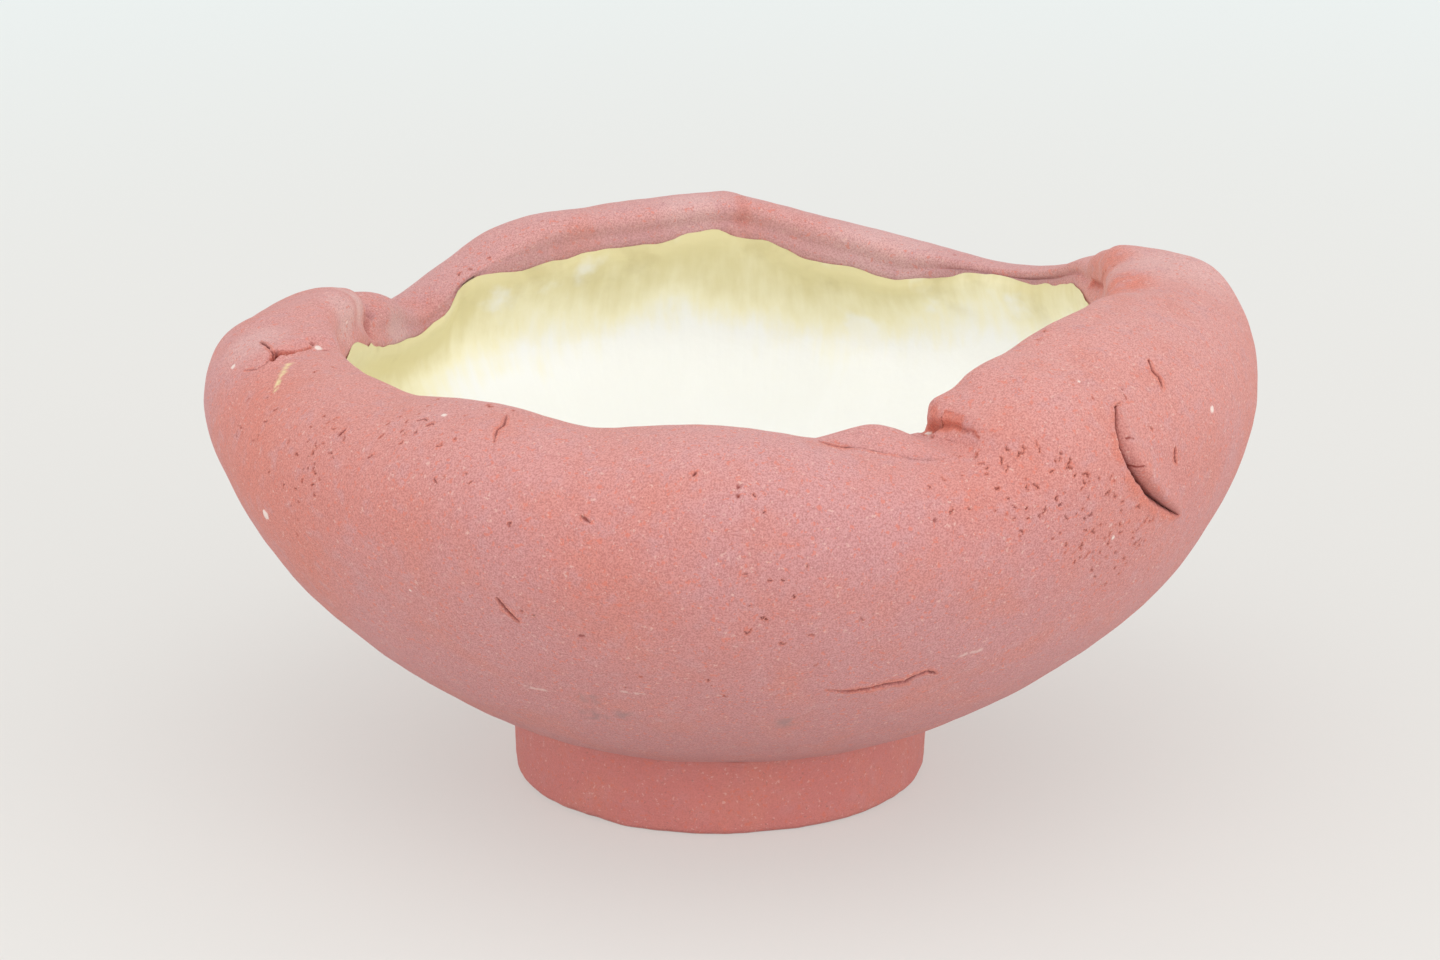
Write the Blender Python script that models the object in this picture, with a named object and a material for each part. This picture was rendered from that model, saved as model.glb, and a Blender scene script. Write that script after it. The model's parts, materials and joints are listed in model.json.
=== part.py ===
"""Hand-built red clay bowl: a pinched wall, a rim of lapped clay pads, a ring foot and a gilded lining.

Metres, +Z up. The origin is on the table under the middle of the belly. The front, where the lip is
most even, faces -Y, and the tall folded side of the rim is at +X. Angles are in degrees, counted from
+X towards +Y.
"""

import math

import bmesh
import bpy
import numpy as np

MM = 0.001

# Belly: a superellipse turned about Z, from under the foot to the widest line.
BELLY_RADIUS = 74.5 * MM
BELLY_HEIGHT = 58 * MM
BELLY_BOTTOM = 4 * MM
BELLY_POWER = 1.73
WALL = 8.5 * MM

# The underside is trimmed flat inside the foot, this far up from the bottom of the belly's curve.
UNDERSIDE_TRIM = 2 * MM
UNDERSIDE_HEIGHT = BELLY_BOTTOM + UNDERSIDE_TRIM

# The pads sit on the wall along a sloping joint under the belly's widest line, lower inside than outside.
JOINT_OUTSIDE_DROP = 11 * MM
JOINT_INSIDE_DROP = 16 * MM

# Every piece keeps this distance from the piece it is luted to.
JOINT_GAP = 0.3 * MM

# Angles of the seams where one pad of the rim laps the next.
SEAM_LEFT_FRONT = 195
SEAM_RIGHT_STEP = 296
SEAM_RIGHT_FOLD = 380
SEAM_BACK = 449
SEAM_LEFT_REAR = 517
FULL_TURN = 360

# A seam runs through the lip on an upright plane, turned from the radius about a line under the crest.
SCARF_ANGLE = math.radians(24)
SCARF_SETBACK = 15 * MM

# Each pad's crest: angle, rise over the belly's widest line and setback from its radius, in millimetres.
RIM_PADS = {
    "rim_pad_front": (
        (SEAM_LEFT_FRONT, 9.2, 15), (207, 9.1, 15), (222, 9.4, 15), (240, 11.1, 15), (253, 9.6, 15),
        (264, 11.0, 15), (273, 10.5, 15), (280, 9.2, 15), (288, 8.2, 15), (SEAM_RIGHT_STEP, 7.8, 15)),
    "rim_pad_right": (
        (SEAM_RIGHT_STEP, 11.0, 15), (300, 12.7, 15), (305, 15.5, 16), (313, 16.7, 17), (321, 18.1, 18),
        (335, 18.0, 18), (350, 17.5, 18), (361, 17.2, 18), (371, 16.0, 18), (SEAM_RIGHT_FOLD, 13.8, 18)),
    "rim_pad_back_right": (
        (SEAM_RIGHT_FOLD, 11.6, 16), (388, 10.0, 15), (395, 6.8, 15), (404, 4.2, 14), (420, 5.0, 14),
        (435, 8.0, 15), (SEAM_BACK, 11.6, 15)),
    "rim_pad_back_left": (
        (SEAM_BACK, 11.6, 15), (467, 10.2, 15), (481, 8.6, 15), (487, 4.9, 14), (494, 0.8, 12),
        (500, -1.0, 10), (505, 2.9, 10), (510, 3.2, 11), (SEAM_LEFT_REAR, 6.0, 12)),
    "rim_pad_left": (
        (SEAM_LEFT_REAR, 6.4, 14), (523, 8.4, 15), (530, 10.0, 15), (540, 11.6, 15), (548, 11.4, 15),
        (SEAM_LEFT_FRONT + FULL_TURN, 10.6, 15)),
}

# Roundness of the pads' outside: length of its tangents as a share of the span from joint to crest.
SHOULDER_ROUNDNESS = 1.5

# Lower edge of the bare lip inside, where the gilding starts: angle, rise and setback as for the crests.
LEAF_EDGE = (
    (8, 8.5, 22), (16, 7.2, 20.5), (22, 7.3, 19.5), (28.5, 7.6, 17.5), (35, 5.4, 16.5), (41, 3.6, 16),
    (47, 2.8, 16), (53, 2.3, 17), (58, 1.7, 18), (64, 0.6, 18.5), (72, 1.8, 19), (80, 3.0, 19.5),
    (86, 5.2, 19.5), (93, 7.2, 19.5), (101.5, 6.3, 19.5), (113.5, 5.2, 19.5), (122, 3.6, 18.5),
    (129, 1.6, 16.8), (136, -2.8, 15.8), (144, -3.9, 16), (152, -2.8, 17), (161, -0.6, 19), (172, 3.0, 21),
    (185, 4.0, 20), (205, 4.3, 20), (270, 4.6, 20), (292, 4.0, 20), (306, 8.0, 20), (322, 11.0, 22),
    (345, 10.8, 22.5))

# Gilding: primer, size and metal leaf together.
LINING_THICKNESS = 0.6 * MM

# Foot: a turned ring luted under the belly, a little off its centre.
FOOT_RADIUS = 29.8 * MM
FOOT_WALL = 7 * MM
FOOT_SHIFT = -1.5 * MM
FOOT_EDGE_ROUND = 1.2 * MM
SLIP_THICKNESS = 0.8 * MM
SLIP_INSET = 0.5 * MM

# Thin strip of clay laid over the front pad's low end, up against the right pad.
FILLER_START = 281
FILLER_THICKNESS = 2.2 * MM
FILLER_EDGE = 0.5 * MM
FILLER_OUTSIDE = 0.8
FILLER_INSIDE = 1.8

# The strip swells along its length as a half wave does between these shares of it.
FILLER_WAVE_START = 0.25
FILLER_WAVE_END = 0.75

# Oval pad of clay pressed onto the right pad, its top leaning left: blunt on its front edge, feathered behind.
PATCH_ANGLE = 315
PATCH_RISE = 2.2 * MM
PATCH_HALF_WIDTH = 5.2 * MM
PATCH_HALF_LENGTH = 10.8 * MM
PATCH_LEAN = math.radians(34)
PATCH_BLUNT_EDGE = 1.5 * MM
PATCH_FEATHER_EDGE = 0.4 * MM
PATCH_CROWN = 0.5 * MM

# Facets.
TURN_STEPS = 60
BELLY_STEPS = 10
PAD_STEP_DEGREES = 5
PAD_LEAST_STEPS = 3
SHOULDER_STEPS = 8
LIP_STEPS = 4
INNER_LIP_STEPS = 4
FILLER_STEPS = 8
FOOT_STEPS = 48
FOOT_EDGE_STEPS = 3
FOOT_TOP_STEPS = 2
PATCH_TURN_STEPS = 24
PATCH_RINGS = (0.35, 0.65, 0.88, 1.0)
SHARP_ANGLE = math.radians(50)
WELD_DISTANCE = 0.001 * MM

# Steps by which slopes and lengths of the curves are measured.
TURN_NUDGE = 1e-4
SHARE_NUDGE = 0.01
LENGTH_STEPS = 100

# Finishes.
CLAY_COLOUR = (0.54, 0.22, 0.18, 1.0)
CLAY_ROUGHNESS = 0.9
SLIP_COLOUR = (0.42, 0.16, 0.13, 1.0)
SLIP_ROUGHNESS = 0.95
LEAF_COLOUR = (0.90, 0.80, 0.48, 1.0)
LEAF_ROUGHNESS = 0.3


def through(stations, at):
    """Value at an angle of the smooth curve through (angle, value) stations."""
    angles, values = np.array(stations, float).T
    slopes = np.gradient(values, angles)
    i = int(np.clip(np.searchsorted(angles, at) - 1, 0, len(angles) - 2))
    span = angles[i + 1] - angles[i]
    return hermite(values[i], slopes[i] * span, values[i + 1], slopes[i + 1] * span, (at - angles[i]) / span)


def hermite(start, start_tangent, end, end_tangent, t):
    """Cubic between two values or points with the given tangents."""
    return (
        (2 * t**3 - 3 * t**2 + 1) * start + (t**3 - 2 * t**2 + t) * start_tangent
        + (3 * t**2 - 2 * t**3) * end + (t**3 - t**2) * end_tangent)


def belly_height(radius):
    """Height of the belly's outside at a radius."""
    share = 1 - (radius / BELLY_RADIUS) ** BELLY_POWER
    return BELLY_HEIGHT - (BELLY_HEIGHT - BELLY_BOTTOM) * share ** (1 / BELLY_POWER)


def belly_point(turn):
    """(radius, height) on the belly's outside: turn is 0 under the middle, a quarter turn at the widest."""
    power = 2 / BELLY_POWER
    return np.array([
        BELLY_RADIUS * math.sin(turn) ** power,
        BELLY_HEIGHT - (BELLY_HEIGHT - BELLY_BOTTOM) * math.cos(turn) ** power])


def belly_turn(height):
    """The turn at which belly_point reaches a height."""
    drop = (BELLY_HEIGHT - height) / (BELLY_HEIGHT - BELLY_BOTTOM)
    return math.acos(drop ** (BELLY_POWER / 2))


def inside_point(turn):
    """(radius, height) inside the wall, one thickness in from belly_point, and the way along it."""
    low, high = max(turn - TURN_NUDGE, 0), min(turn + TURN_NUDGE, math.pi / 2)
    along = belly_point(high) - belly_point(low)
    along /= np.linalg.norm(along)
    inward = np.array([-along[1], along[0]])
    return np.maximum(belly_point(turn) + WALL * inward, 0), along


def rim_point(stations, angle):
    """(radius, height) at an angle of the smooth curve through (angle, rise, setback) stations."""
    rise = through([(a, r) for a, r, _ in stations], angle) * MM
    setback = through([(a, s) for a, _, s in stations], angle) * MM
    return np.array([BELLY_RADIUS - setback, BELLY_HEIGHT + rise])


def crest(pad, angle):
    """(radius, height) of a pad's crest."""
    return rim_point(RIM_PADS[pad], angle)


def leaf_edge(angle):
    """(radius, height) of the lip's lower edge inside."""
    turns = (-FULL_TURN, 0, FULL_TURN)
    repeated = [(a + turn, rise, setback) for turn in turns for a, rise, setback in LEAF_EDGE]
    return rim_point(repeated, angle % FULL_TURN)


def inside_of_pads(angle):
    """Section of the pads' inside, from the leaf edge down to the joint."""
    top = leaf_edge(angle)
    bottom, upward = inside_point(belly_turn(BELLY_HEIGHT - JOINT_INSIDE_DROP))
    reach = np.linalg.norm(top - bottom)
    return [
        hermite(top, np.array([0, -reach]), bottom, -upward * reach, k / INNER_LIP_STEPS)
        for k in range(INNER_LIP_STEPS + 1)]


def pad_outside(pad, angle, share):
    """(radius, height) on a pad's outside: share is 0 at the joint with the wall, 1 at the crest."""
    turn = belly_turn(BELLY_HEIGHT - JOINT_OUTSIDE_DROP)
    bottom, top = belly_point(turn), crest(pad, angle)
    upward = inside_point(turn)[1]
    reach = SHOULDER_ROUNDNESS * np.linalg.norm(top - bottom)
    return hermite(bottom, upward * reach, top, np.array([-reach, 0]), share)


def pad_skin(pad, angle, along):
    """(radius, height) on a pad's skin: along is 0 at the joint, 1 at the crest, 2 at the leaf edge."""
    if along <= 1:
        return pad_outside(pad, angle, along)
    top, edge = crest(pad, angle), leaf_edge(angle)
    turn = (along - 1) * math.pi / 2
    return edge + (top - edge) * np.array([1 - math.sin(turn), math.cos(turn)])


def off_skin(pad, angle, along, lift):
    """A point in space that stands off a pad's skin by lift."""
    way = pad_skin(pad, angle, along + SHARE_NUDGE) - pad_skin(pad, angle, along - SHARE_NUDGE)
    outward = np.array([way[1], -way[0]]) / np.linalg.norm(way)
    return place(pad_skin(pad, angle, along) + lift * outward, angle)


def place(point, angle):
    """A section's (radius, height) point in space, on the upright plane of a seam at that angle."""
    radius, height = point
    pivot = BELLY_RADIUS - SCARF_SETBACK
    slant = SCARF_ANGLE - math.asin(math.sin(SCARF_ANGLE) * pivot / max(radius, pivot / 2))
    turned_by = math.radians(angle) + slant
    return (radius * math.cos(turned_by), radius * math.sin(turned_by), height)


def clear_scene():
    for obj in list(bpy.data.objects):
        bpy.data.objects.remove(obj)


def material(name, colour, roughness, metallic):
    made = bpy.data.materials.new(name)
    made.use_nodes = True
    shader = made.node_tree.nodes["Principled BSDF"]
    shader.inputs["Base Color"].default_value = colour
    shader.inputs["Roughness"].default_value = roughness
    shader.inputs["Metallic"].default_value = metallic
    return made


def add_object(name, shape, finish, parent):
    """Makes an object of a bmesh, with its faces outwards and its round stretches smooth."""
    bmesh.ops.remove_doubles(shape, verts=shape.verts, dist=WELD_DISTANCE)
    bmesh.ops.recalc_face_normals(shape, faces=shape.faces)
    mesh = bpy.data.meshes.new(name)
    shape.to_mesh(mesh)
    shape.free()
    mesh.shade_smooth()
    mesh.set_sharp_from_angle(angle=SHARP_ANGLE)
    mesh.materials.append(finish)
    obj = bpy.data.objects.new(name, mesh)
    obj.parent = parent
    bpy.context.scene.collection.objects.link(obj)
    return obj


def loft(sections, closed):
    """A bmesh through closed sections of equally many points, joined end to end or capped."""
    shape = bmesh.new()
    rings = [[shape.verts.new(point) for point in section] for section in sections]
    pairs = list(zip(rings, rings[1:] + rings[:1])) if closed else list(zip(rings, rings[1:]))
    for ring, following in pairs:
        for k in range(len(ring)):
            shape.faces.new((ring[k - 1], ring[k], following[k], following[k - 1]))
    if not closed:
        shape.faces.new(rings[0])
        shape.faces.new(reversed(rings[-1]))
    return shape


def turned(profile, steps):
    """A bmesh of a closed (radius, height) profile turned about Z."""
    shape = bmesh.new()
    points = [shape.verts.new((radius, 0, height)) for radius, height in profile]
    edges = [shape.edges.new((points[k], points[k + 1])) for k in range(len(points) - 1)]
    bmesh.ops.spin(
        shape, geom=points + edges, cent=(0, 0, 0), axis=(0, 0, 1), angle=math.tau, steps=steps,
        use_merge=True)
    return shape


def bowl_wall(finish, parent):
    """The pinched bowl itself, trimmed flat under the middle and ending at the joint with the rim."""
    underside = belly_turn(UNDERSIDE_HEIGHT)
    outside_joint = belly_turn(BELLY_HEIGHT - JOINT_OUTSIDE_DROP)
    inside_joint = belly_turn(BELLY_HEIGHT - JOINT_INSIDE_DROP)
    outside = [belly_point(turn) for turn in np.linspace(underside, outside_joint, BELLY_STEPS + 1)]
    inside = [inside_point(turn)[0] for turn in np.linspace(inside_joint, 0, BELLY_STEPS + 1)]
    inside[-1][0] = 0
    profile = [(0, UNDERSIDE_HEIGHT), *outside, *inside]
    return add_object("bowl_wall", turned(profile, TURN_STEPS), finish, parent)


def pad_section(pad, angle):
    """Closed section of a rim pad: up the outside, over the crest and down the inside."""
    outside = [pad_skin(pad, angle, share) for share in np.linspace(0, 1, SHOULDER_STEPS + 1)]
    lip = [pad_skin(pad, angle, 1 + share) for share in np.linspace(0, 1, LIP_STEPS + 1)[1:-1]]
    inside = inside_of_pads(angle)
    lift = np.array([0, JOINT_GAP])
    return [outside[0] + lift, *outside[1:], *lip, *inside[:-1], inside[-1] + lift]


def rim_pad(pad, finish, parent):
    """One pad of the rim, from seam to seam, clear of its neighbours by half a joint gap at each end."""
    start, end = RIM_PADS[pad][0][0], RIM_PADS[pad][-1][0]
    half_gap = math.degrees(JOINT_GAP / 2 / crest(pad, start)[0])
    steps = max(PAD_LEAST_STEPS, round((end - start) / PAD_STEP_DEGREES))
    angles = np.linspace(start + half_gap, end - half_gap, steps + 1)
    sections = [[place(point, angle) for point in pad_section(pad, angle)] for angle in angles]
    return add_object(pad, loft(sections, closed=False), finish, parent)


def leaf_lining(finish, parent):
    """The gilded skin over the inside, from the leaf edge of the lip down to the floor."""
    sections = []
    floor_turns = np.linspace(belly_turn(BELLY_HEIGHT - JOINT_INSIDE_DROP), 0, BELLY_STEPS + 1)[1:]
    for angle in np.linspace(0, FULL_TURN, TURN_STEPS, endpoint=False):
        line = np.array(inside_of_pads(angle) + [inside_point(turn)[0] for turn in floor_turns])
        line[-1][0] = 0
        along = np.gradient(line, axis=0)
        along[-1] = (-1, 0)
        hollow = np.stack([along[:, 1], -along[:, 0]], axis=1) / np.linalg.norm(along, axis=1)[:, None]
        back = line + JOINT_GAP * hollow
        front = line + (JOINT_GAP + LINING_THICKNESS) * hollow
        back[-1][0] = front[-1][0] = 0
        sections.append([place(point, angle) for point in [*back, *front[::-1]]])
    return add_object("leaf_lining", loft(sections, closed=True), finish, parent)


def foot_ring_point(radius, height, angle):
    """A point of the foot, about the foot's own centre."""
    turned_by = math.radians(angle)
    return (FOOT_SHIFT + radius * math.cos(turned_by), radius * math.sin(turned_by), height)


def belly_above_foot(radius, angle):
    """Height of the belly's underside over a point of the foot."""
    x, y, _ = foot_ring_point(radius, 0, angle)
    return belly_height(math.hypot(x, y))


def foot_ring(finish, parent):
    """The ring foot: flat under, with rounded edges, and fitted to the belly's curve on top."""
    inner = FOOT_RADIUS - FOOT_WALL
    joint = 2 * JOINT_GAP + SLIP_THICKNESS
    sections = []
    for angle in np.linspace(0, FULL_TURN, FOOT_STEPS, endpoint=False):
        rounds = np.linspace(0, math.pi / 2, FOOT_EDGE_STEPS + 1)
        outer_edge = [
            (FOOT_RADIUS - FOOT_EDGE_ROUND * (1 - math.sin(turn)), FOOT_EDGE_ROUND * (1 - math.cos(turn)))
            for turn in rounds]
        inner_edge = [
            (inner + FOOT_EDGE_ROUND * (1 - math.cos(turn)), FOOT_EDGE_ROUND * (1 - math.sin(turn)))
            for turn in rounds]
        radii = np.linspace(FOOT_RADIUS, inner, FOOT_TOP_STEPS + 1)
        tops = [(r, belly_above_foot(r, angle) - joint) for r in radii]
        sections.append([foot_ring_point(r, z, angle) for r, z in [*outer_edge, *tops, *inner_edge]])
    return add_object("foot_ring", loft(sections, closed=True), finish, parent)


def slip_bed(finish, parent):
    """The bed of slip that lutes the foot to the belly."""
    outer = FOOT_RADIUS - SLIP_INSET
    inner = FOOT_RADIUS - FOOT_WALL + SLIP_INSET
    sections = []
    for angle in np.linspace(0, FULL_TURN, FOOT_STEPS, endpoint=False):
        radii = np.linspace(outer, inner, FOOT_TOP_STEPS + 1)
        under = [(r, belly_above_foot(r, angle) - JOINT_GAP - SLIP_THICKNESS) for r in radii]
        over = [(r, belly_above_foot(r, angle) - JOINT_GAP) for r in radii[::-1]]
        sections.append([foot_ring_point(r, z, angle) for r, z in [*under, *over]])
    return add_object("slip_bed", loft(sections, closed=True), finish, parent)


def rim_filler(finish, parent):
    """The strip over the front pad's low end: thin along its edges, its far end against the right pad."""
    pad = "rim_pad_front"
    end = SEAM_RIGHT_STEP - math.degrees(JOINT_GAP / crest(pad, SEAM_RIGHT_STEP)[0])
    ways = np.linspace(FILLER_OUTSIDE, FILLER_INSIDE, FILLER_STEPS + 1)
    sections = []
    for share in np.linspace(0, 1, FILLER_STEPS + 1):
        angle = FILLER_START + share * (end - FILLER_START)
        wave = FILLER_WAVE_START + share * (FILLER_WAVE_END - FILLER_WAVE_START)
        swell = (FILLER_THICKNESS - FILLER_EDGE) * math.sin(wave * math.pi)
        lifts = FILLER_EDGE + swell * np.sin(np.linspace(0, math.pi, FILLER_STEPS + 1))
        under = [off_skin(pad, angle, way, JOINT_GAP) for way in ways]
        over = [off_skin(pad, angle, way, JOINT_GAP + lift) for way, lift in zip(ways, lifts)]
        sections.append(under + over[::-1])
    return add_object("rim_filler", loft(sections, closed=False), finish, parent)


def thumb_patch(finish, parent):
    """The oval pad pressed onto the outside of the right pad."""
    pad = "rim_pad_right"
    shares = np.linspace(0, 1, LENGTH_STEPS + 1)
    heights = [pad_skin(pad, PATCH_ANGLE, share)[1] for share in shares]
    middle = np.interp(BELLY_HEIGHT + PATCH_RISE, heights, shares)
    length = sum(
        np.linalg.norm(pad_skin(pad, PATCH_ANGLE, high) - pad_skin(pad, PATCH_ANGLE, low))
        for low, high in zip(shares, shares[1:]))

    def patch_point(share, turn, lift):
        across = share * PATCH_HALF_WIDTH * math.cos(turn)
        along = share * PATCH_HALF_LENGTH * math.sin(turn)
        right = across * math.cos(PATCH_LEAN) - along * math.sin(PATCH_LEAN)
        up = across * math.sin(PATCH_LEAN) + along * math.cos(PATCH_LEAN)
        angle = PATCH_ANGLE + math.degrees(right / BELLY_RADIUS)
        return off_skin(pad, angle, middle + up / length, lift)

    def top_lift(share, turn):
        bluntness = 0.5 - 0.5 * share * math.cos(turn)
        edge = PATCH_FEATHER_EDGE + (PATCH_BLUNT_EDGE - PATCH_FEATHER_EDGE) * bluntness
        return JOINT_GAP + edge + PATCH_CROWN * (1 - share**2)

    shape = bmesh.new()
    turns = np.linspace(0, math.tau, PATCH_TURN_STEPS, endpoint=False)
    under = [[patch_point(share, turn, JOINT_GAP) for turn in turns] for share in PATCH_RINGS]
    over = [[patch_point(share, turn, top_lift(share, turn)) for turn in turns] for share in PATCH_RINGS]
    loops = [[shape.verts.new(point) for point in loop] for loop in under + over[::-1]]
    for loop, following in zip(loops, loops[1:]):
        for k in range(len(turns)):
            shape.faces.new((loop[k - 1], loop[k], following[k], following[k - 1]))
    for loop, lift in ((loops[0], JOINT_GAP), (loops[-1], top_lift(0, 0))):
        centre = shape.verts.new(patch_point(0, 0, lift))
        for k in range(len(turns)):
            shape.faces.new((loop[k - 1], loop[k], centre))
    return add_object("thumb_patch", shape, finish, parent)


def main():
    clear_scene()
    bowl = bpy.data.objects.new("bowl", None)
    bpy.context.scene.collection.objects.link(bowl)
    clay = material("red_clay", CLAY_COLOUR, CLAY_ROUGHNESS, metallic=0)
    slip = material("clay_slip", SLIP_COLOUR, SLIP_ROUGHNESS, metallic=0)
    leaf = material("metal_leaf", LEAF_COLOUR, LEAF_ROUGHNESS, metallic=1)
    bowl_wall(clay, bowl)
    for pad in RIM_PADS:
        rim_pad(pad, clay, bowl)
    rim_filler(clay, bowl)
    thumb_patch(clay, bowl)
    foot_ring(clay, bowl)
    slip_bed(slip, bowl)
    leaf_lining(leaf, bowl)


main()
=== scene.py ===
"""Looks of a hand-built red clay bowl with a gilded inside.

The clay is one smooth form, described by a turn angle in degrees and a share along its section, and every
piece is a stretch of that form with relief on it: hand-pressed lumps, laps, cracks, pits and grains. Lengths
are in millimetres up to the moment a mesh is made.
"""

import json
import math

import bpy
import numpy as np
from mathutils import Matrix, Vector, noise

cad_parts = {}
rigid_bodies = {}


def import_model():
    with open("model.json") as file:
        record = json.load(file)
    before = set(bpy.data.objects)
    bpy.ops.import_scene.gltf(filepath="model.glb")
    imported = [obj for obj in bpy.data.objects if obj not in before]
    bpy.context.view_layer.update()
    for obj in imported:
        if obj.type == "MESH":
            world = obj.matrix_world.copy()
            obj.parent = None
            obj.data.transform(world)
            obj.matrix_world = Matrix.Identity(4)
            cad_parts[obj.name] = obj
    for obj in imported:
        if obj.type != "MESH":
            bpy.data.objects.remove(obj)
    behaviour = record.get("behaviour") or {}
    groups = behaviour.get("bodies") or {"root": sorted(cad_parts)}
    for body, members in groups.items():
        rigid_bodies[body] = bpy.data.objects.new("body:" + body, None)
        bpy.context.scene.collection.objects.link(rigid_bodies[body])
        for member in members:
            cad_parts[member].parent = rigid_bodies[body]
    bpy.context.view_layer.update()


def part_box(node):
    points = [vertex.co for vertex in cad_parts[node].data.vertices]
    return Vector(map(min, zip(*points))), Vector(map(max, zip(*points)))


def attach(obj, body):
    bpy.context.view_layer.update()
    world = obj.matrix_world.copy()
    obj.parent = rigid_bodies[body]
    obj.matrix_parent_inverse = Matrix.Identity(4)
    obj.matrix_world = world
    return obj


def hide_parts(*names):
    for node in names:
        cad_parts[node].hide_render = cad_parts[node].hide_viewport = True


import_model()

MM = 0.001
FULL_TURN = 360

# The part's own sizes: belly, joint under the rim, and the seams of the rim's pads.
BELLY_RADIUS = 74.5
BELLY_HEIGHT = 58
BELLY_BOTTOM = 4
BELLY_POWER = 1.73
WALL = 8.5
UNDERSIDE_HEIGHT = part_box("bowl_wall")[0].z / MM
JOINT_OUTSIDE_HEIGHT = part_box("bowl_wall")[1].z / MM
JOINT_INSIDE_HEIGHT = BELLY_HEIGHT - 16
SHOULDER_ROUNDNESS = 1.5
SCARF_ANGLE = math.radians(24)
SCARF_PIVOT = BELLY_RADIUS - 15

SEAM_LEFT_FRONT = 195
SEAM_RIGHT_STEP = 296
SEAM_RIGHT_FOLD = 380
SEAM_BACK = 449
SEAM_LEFT_REAR = 517

# Crest of each pad: angle, rise over the belly's widest line and setback from its radius.
RIM_PADS = {
    "rim_pad_front": (
        (SEAM_LEFT_FRONT, 9.2, 15), (207, 9.1, 15), (222, 9.4, 15), (240, 11.1, 15), (253, 9.6, 15),
        (264, 11.0, 15), (273, 10.5, 15), (280, 9.2, 15), (288, 8.2, 15), (SEAM_RIGHT_STEP, 7.8, 15)),
    "rim_pad_right": (
        (SEAM_RIGHT_STEP, 11.0, 15), (300, 12.7, 15), (305, 15.5, 16), (313, 16.7, 17), (321, 18.1, 18),
        (335, 18.0, 18), (350, 17.5, 18), (361, 17.2, 18), (371, 16.0, 18), (SEAM_RIGHT_FOLD, 13.8, 18)),
    "rim_pad_back_right": (
        (SEAM_RIGHT_FOLD, 11.6, 16), (388, 10.0, 15), (395, 6.8, 15), (404, 4.2, 14), (420, 5.0, 14),
        (435, 8.0, 15), (SEAM_BACK, 11.6, 15)),
    "rim_pad_back_left": (
        (SEAM_BACK, 11.6, 15), (467, 10.2, 15), (481, 8.6, 15), (487, 4.9, 14), (494, 0.8, 12),
        (500, -1.0, 10), (505, 2.9, 10), (510, 3.2, 11), (SEAM_LEFT_REAR, 6.0, 12)),
    "rim_pad_left": (
        (SEAM_LEFT_REAR, 6.4, 14), (523, 8.4, 15), (530, 10.0, 15), (540, 11.6, 15), (548, 11.4, 15),
        (SEAM_LEFT_FRONT + FULL_TURN, 10.6, 15)),
}

# Edge of the gilding under the lip, by the same three values.
LEAF_EDGE = (
    (8, 8.5, 22), (16, 7.2, 20.5), (22, 7.3, 19.5), (28.5, 7.6, 17.5), (35, 5.4, 16.5), (41, 3.9, 16),
    (47, 3.5, 16), (53, 3.3, 16.5), (58, 2.6, 17.5), (64, 1.2, 18.5), (72, 2.7, 19), (80, 4.0, 19.5),
    (86, 5.9, 19.5), (93, 7.4, 19.5), (101.5, 6.4, 19.5), (113.5, 5.6, 19.5), (122, 4.2, 17.6),
    (128, 3.6, 15.6), (132.5, 1.4, 14.4), (135, -1.4, 14.8), (138.5, -3.3, 14.7), (145, -3.8, 15.6),
    (152, -2.8, 17), (161, -0.6, 19), (172, 3.0, 21),
    (185, 4.0, 20), (205, 4.3, 20), (270, 4.6, 20), (292, 4.0, 20), (306, 8.0, 20), (322, 11.0, 22),
    (345, 10.8, 22.5))

# How each seam laps on the crest: half its width in degrees, how far it lies behind the seam, and its lean
# over the inside of the lip. Below, it spreads by more degrees under a share, over a stretch.
SEAM_LAPS = {
    SEAM_LEFT_FRONT: (1.5, 0, 0),
    SEAM_RIGHT_STEP: (1.1, 0.6, 5),
    SEAM_RIGHT_FOLD - FULL_TURN: (2.0, 0, 4),
    SEAM_BACK - FULL_TURN: (2.5, 0, 0),
    SEAM_LEFT_REAR - FULL_TURN: (4, 0, 9),
}
SEAM_SPREAD = 8
SEAM_FADE_FROM = 0.82
SEAM_FADE_OVER = 0.25

# Shares along the section: under the middle, edge of the underside, joint outside, crest, edge of the
# gilding, joint inside, middle of the floor.
MIDDLE_UNDER, UNDERSIDE, JOINT, CREST, LEAF, INNER_JOINT, FLOOR = -2, -1, 0, 1, 2, 3, 4

# Facets: sizes of cells, splits of a cell near a mark and how near that is, columns round the bowl.
CELL = 0.8
LIP_CELL = 0.6
HIDDEN_CELL = 4
FINER = 4
MARK_REACH = 0.5
COLUMN_DEGREES = 0.5
LINING_COLUMN_DEGREES = 1

# Share from which a place on the rim is looked for by its radius; steps on the outside and on the rim, and
# rounds of looking.
RIM_FROM = 0.6
OUTSIDE_STEPS = 300
RIM_STEPS = 150
ROUNDS = 3

# Section by which rows are spaced, and its steps.
FRONT = 270.0
SECTION_STEPS = 500

# Steps by which slopes of the form are measured, and a length taken for none.
ANGLE_NUDGE = 0.1
ALONG_NUDGE = 0.004
TURN_NUDGE = 1e-4
TINY = 1e-9


def smooth(t):
    t = np.clip(t, 0, 1)
    return t * t * (3 - 2 * t)


def hermite(start, start_tangent, end, end_tangent, t):
    return (
        (2 * t**3 - 3 * t**2 + 1) * start + (t**3 - 2 * t**2 + t) * start_tangent
        + (3 * t**2 - 2 * t**3) * end + (t**3 - t**2) * end_tangent)


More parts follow.
